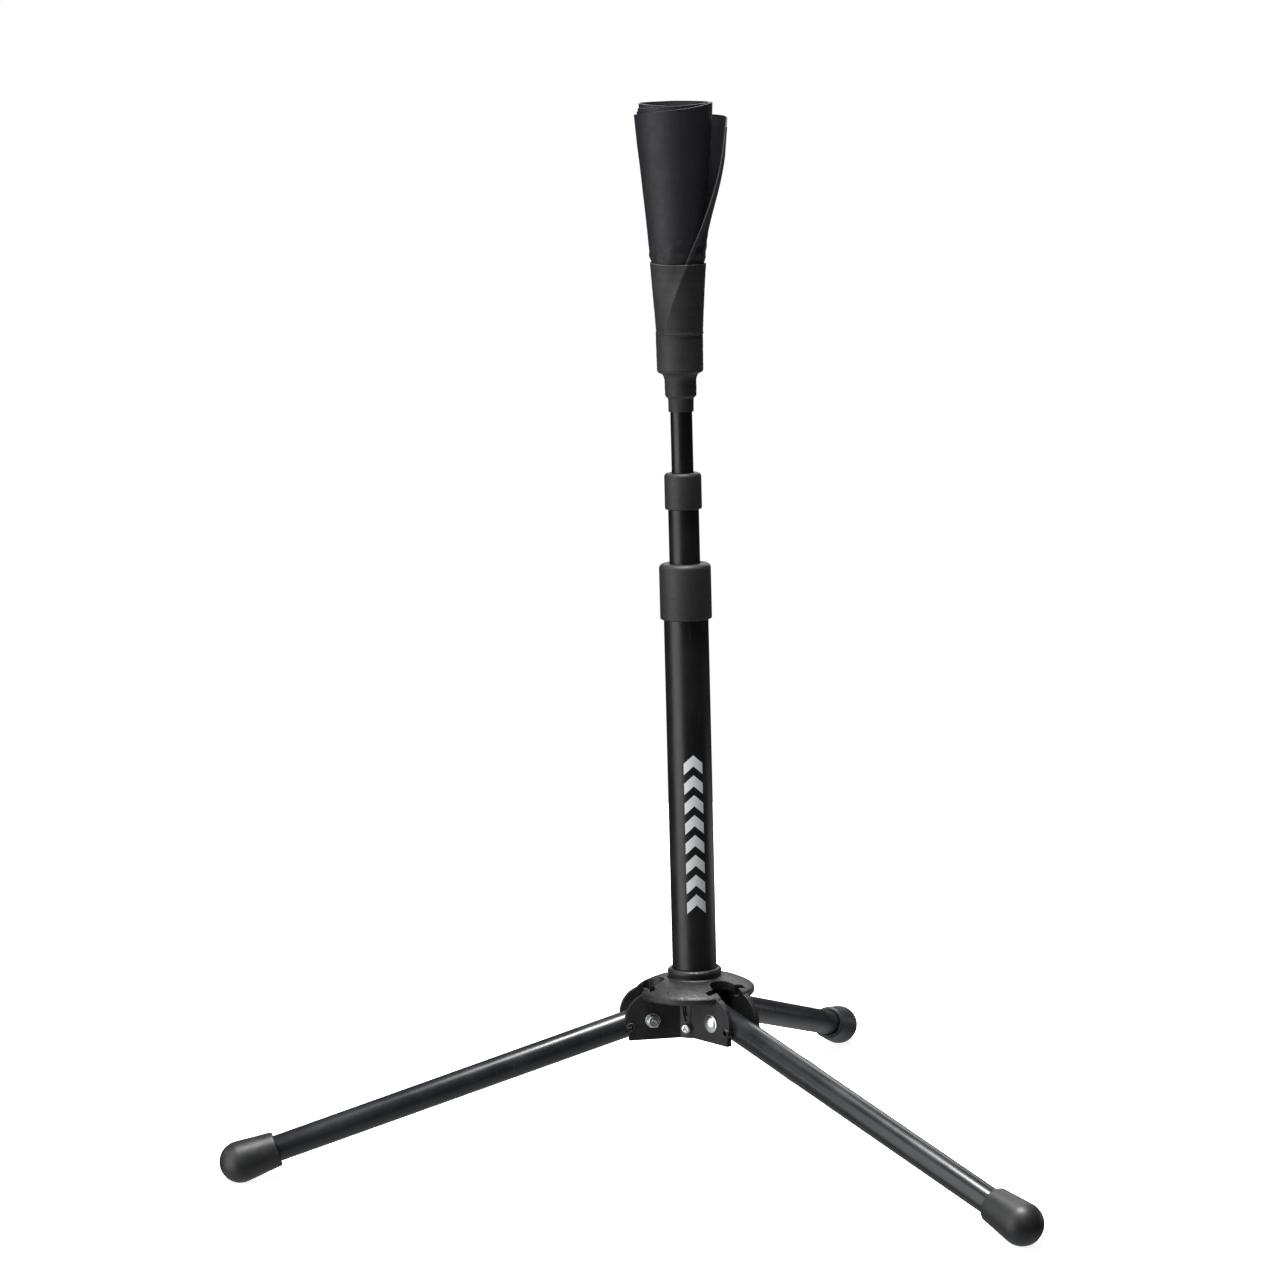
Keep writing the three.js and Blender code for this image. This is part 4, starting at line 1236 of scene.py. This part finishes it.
# The sleeve's outside, as places of height and radius.
SLEEVE_OUTLINE = [
    (SLEEVE_BOTTOM, 9.1), (549.0, 9.15), (551.2, 11.2), (562.6, 11.3), (564.6, 11.75),
    (566.4, 12.7), (568.0, 15.9), (569.4, 16.4), (ROLL_BOTTOM, 16.75), (SLEEVE_TOP, 19.9),
]

# Stretches of rows up the sleeve, closer where its shape turns: start, end and count.
SLEEVE_ROWS = [
    (SLEEVE_BOTTOM, 548, 5), (549, 552, 8), (553.5, 561.5, 7), (562.5, 571.5, 22),
    (573, 592, 14), (593, 598.5, 14), (600, SLEEVE_TOP - 3, 34), (SLEEVE_TOP - 2.4, SLEEVE_TOP, 8),
]


def sleeve_radius(azimuth, height):
    """The sleeve's outside: a stepped neck, then the roll's shape with its loose edge
    showing through as a slanting step."""
    base = np.interp(height, *zip(*SLEEVE_OUTLINE))
    turns = (azimuth - edge_azimuth(height)) / (2 * math.pi) % 1
    under = LAYER_PITCH * (0.4 - turns) + EDGE_STAND_OUT * np.exp(-turns / 0.05)
    ramp = np.clip((turns - 0.93) / 0.07, 0, 1) ** 2
    under = under + (LAYER_PITCH + EDGE_STAND_OUT) * ramp
    base = base + eased(height, ROLL_BOTTOM - 1, ROLL_BOTTOM + 3) * under
    ridge = np.exp(-((height - ROLL_BOTTOM - 0.4) / 0.7) ** 2)
    ridge = ridge * (0.06 + 0.4 * (1 - eased(turns, 0.3, 0.5)))
    lip = np.exp(-((height - SLEEVE_TOP + 0.5) / 0.6) ** 2)
    pulls = ripple(azimuth, height, 5.5, 1.4)
    bands = ripple(np.ones(azimuth.shape), height, 2.2, 14.0)
    return base + ridge + 0.1 * lip + 0.16 * pulls + 0.14 * bands


def make_sleeve():
    """The shrunk sleeve, up its outside and down its inside, with its cut top painted paler as a
    painted highlight.
    """
    heights = np.concatenate([np.linspace(*stretch) for stretch in SLEEVE_ROWS])
    count = SLEEVE_COLUMNS
    azimuths = np.linspace(0, 2 * math.pi, count, endpoint=False)
    azimuth, height = np.meshgrid(azimuths, heights, indexing="ij")
    outside = sleeve_radius(azimuth, height)
    rim_drop = RIM_DROP * (1 + np.cos(azimuth + RIM_TURN)) + 0.2 * np.sin(3 * azimuth)
    sunk = height - rim_drop * eased(height, SLEEVE_TOP - 12, SLEEVE_TOP)
    inner_sunk = sunk.copy()
    inner_sunk[:, -1] -= 0.3
    rows = list(zip(outside.T, sunk.T))
    rows += reversed(list(zip(outside.T - SLEEVE_SKIN, inner_sunk.T)))
    vertices, faces = [], []
    for radius, z in rows:
        vertices += zip(radius * np.cos(azimuths), radius * np.sin(azimuths), z)
    for j in range(len(rows)):
        low, high = j * count, (j + 1) % len(rows) * count
        for i in range(count):
            k = (i + 1) % count
            faces.append((low + i, low + k, high + k, high + i))
    made = raw_object("sleeve", (vertices, faces), COLUMN)
    finish_piece(made, "shrink_sleeve", "sleeve_rubber", SLEEVE_RUBBER, SLEEVE_RIM_PAINTED_HIGHLIGHT)
    # The top rows get the pale rim colour, a painted highlight.
    top_row = len(heights) - 1
    for polygon in made.data.polygons[(top_row - 2) * count:(top_row + 1) * count]:
        polygon.material_index = 1


def make_ball_rest():
    neck = raw_object("neck", turned(neck_profile(), closed=False), COLUMN)
    finish_piece(neck, "neck_adapter", "inner_plastic", INNER_PLASTIC)
    make_rolled_sheet()
    make_sleeve()


# ---- inner pieces kept from CAD

def finish_inner_pieces():
    finishes = {
        "lower_bushing": INNER_PLASTIC, "upper_bushing": INNER_PLASTIC,
        "mid_friction_plug": INNER_PLASTIC, "top_friction_plug": INNER_PLASTIC,
        "mid_friction_ring": RING_RUBBER, "top_friction_ring": RING_RUBBER,
    }
    for leg in LEGS:
        finishes[f"foot_washer_{leg}"] = ZINC
    for node, material in finishes.items():
        mesh = frame["nodes"][node].data
        mesh.materials.clear()
        mesh.materials.append(material)


# ---- floor and light

FLOOR_RADIUS = 1.3
FLOOR_GLOW = 0.85  # so that the paper stays white under the piece


def make_floor():
    rings = [(0, 0), (FLOOR_RADIUS / 2, 0), (FLOOR_RADIUS, 0)]
    vertices, faces = turned(rings, 64, closed=False)
    floor = raw_object("floor", (vertices, [tuple(reversed(face)) for face in faces]))
    material, tree, surface, place = new_material(
        "floor_paper", Specular_IOR_Level=0.1, Emission_Strength=FLOOR_GLOW,
    )
    paper = grain(tree, place, 60, 3.0)
    white = mixed(tree, spread(tree, paper, 0, 1), (0.86, 0.86, 0.86), (0.9, 0.9, 0.9))
    connect(tree, surface, white, spread(tree, paper, 0.7, 0.9))
    floor.data.materials.append(material)
    floor.visible_glossy = False  # the studio's own dim light is what the piece reflects
    floor.visible_diffuse = False
    floor.visible_shadow = False


def softbox(name, azimuth, elevation, distance, size, watts, height=0.35):
    """A rectangular lamp that faces the column at a height."""
    data = bpy.data.lights.new(name, "AREA")
    data.shape = "RECTANGLE"
    data.size, data.size_y = size
    data.energy = watts
    lamp = bpy.data.objects.new(name, data)
    bpy.context.scene.collection.objects.link(lamp)
    back = direction(azimuth, elevation)
    lamp.location = COLUMN_AXIS + Vector((0, 0, height)) + back * distance
    lamp.rotation_mode = "QUATERNION"
    lamp.rotation_quaternion = (-back).to_track_quat("-Z", "Y")


STUDIO_ABOVE = 0.022
STUDIO_BELOW = 0.55  # light thrown back by the paper


def make_world():
    """White paper all round to the eye, and a dim studio to the object."""
    world = bpy.data.worlds.new("studio")
    bpy.context.scene.world = world
    world.use_nodes = True
    tree = world.node_tree
    tree.nodes.clear()
    seen = add(tree, "ShaderNodeLightPath").outputs["Is Camera Ray"]
    place = add(tree, "ShaderNodeTexCoord").outputs["Generated"]
    height = add(tree, "ShaderNodeSeparateXYZ", {"Vector": place}).outputs["Z"]
    strength = spread(tree, height, STUDIO_BELOW, STUDIO_ABOVE, -0.8, -0.2)
    dim = add(tree, "ShaderNodeBackground", {"Color": (0.95, 0.97, 1, 1), "Strength": strength})
    white = add(tree, "ShaderNodeBackground", {"Color": (1, 1, 1, 1), "Strength": 1.0})
    both = add(tree, "ShaderNodeMixShader", {0: seen})
    tree.links.new(dim.outputs[0], both.inputs[1])
    tree.links.new(white.outputs[0], both.inputs[2])
    output = add(tree, "ShaderNodeOutputWorld")
    tree.links.new(both.outputs[0], output.inputs["Surface"])


def make_lights():
    bpy.context.scene.view_settings.view_transform = "Standard"
    softbox("overhead", VIEW_AZIMUTH - 10, 85, 2.6, (0.85, 0.69), 172)
    softbox("side", VIEW_AZIMUTH - 60, 2, 1.4, (1.2, 2.0), 20)
    softbox("back", VIEW_AZIMUTH + 168, 26, 2.0, (1.3, 0.9), 11)
    softbox("low", VIEW_AZIMUTH + 118, 0, 0.8, (0.7, 0.1), 0.35, 0.03)


make_hub()
make_column()
make_legs()
make_ball_rest()
finish_inner_pieces()
make_floor()
make_world()
make_lights()
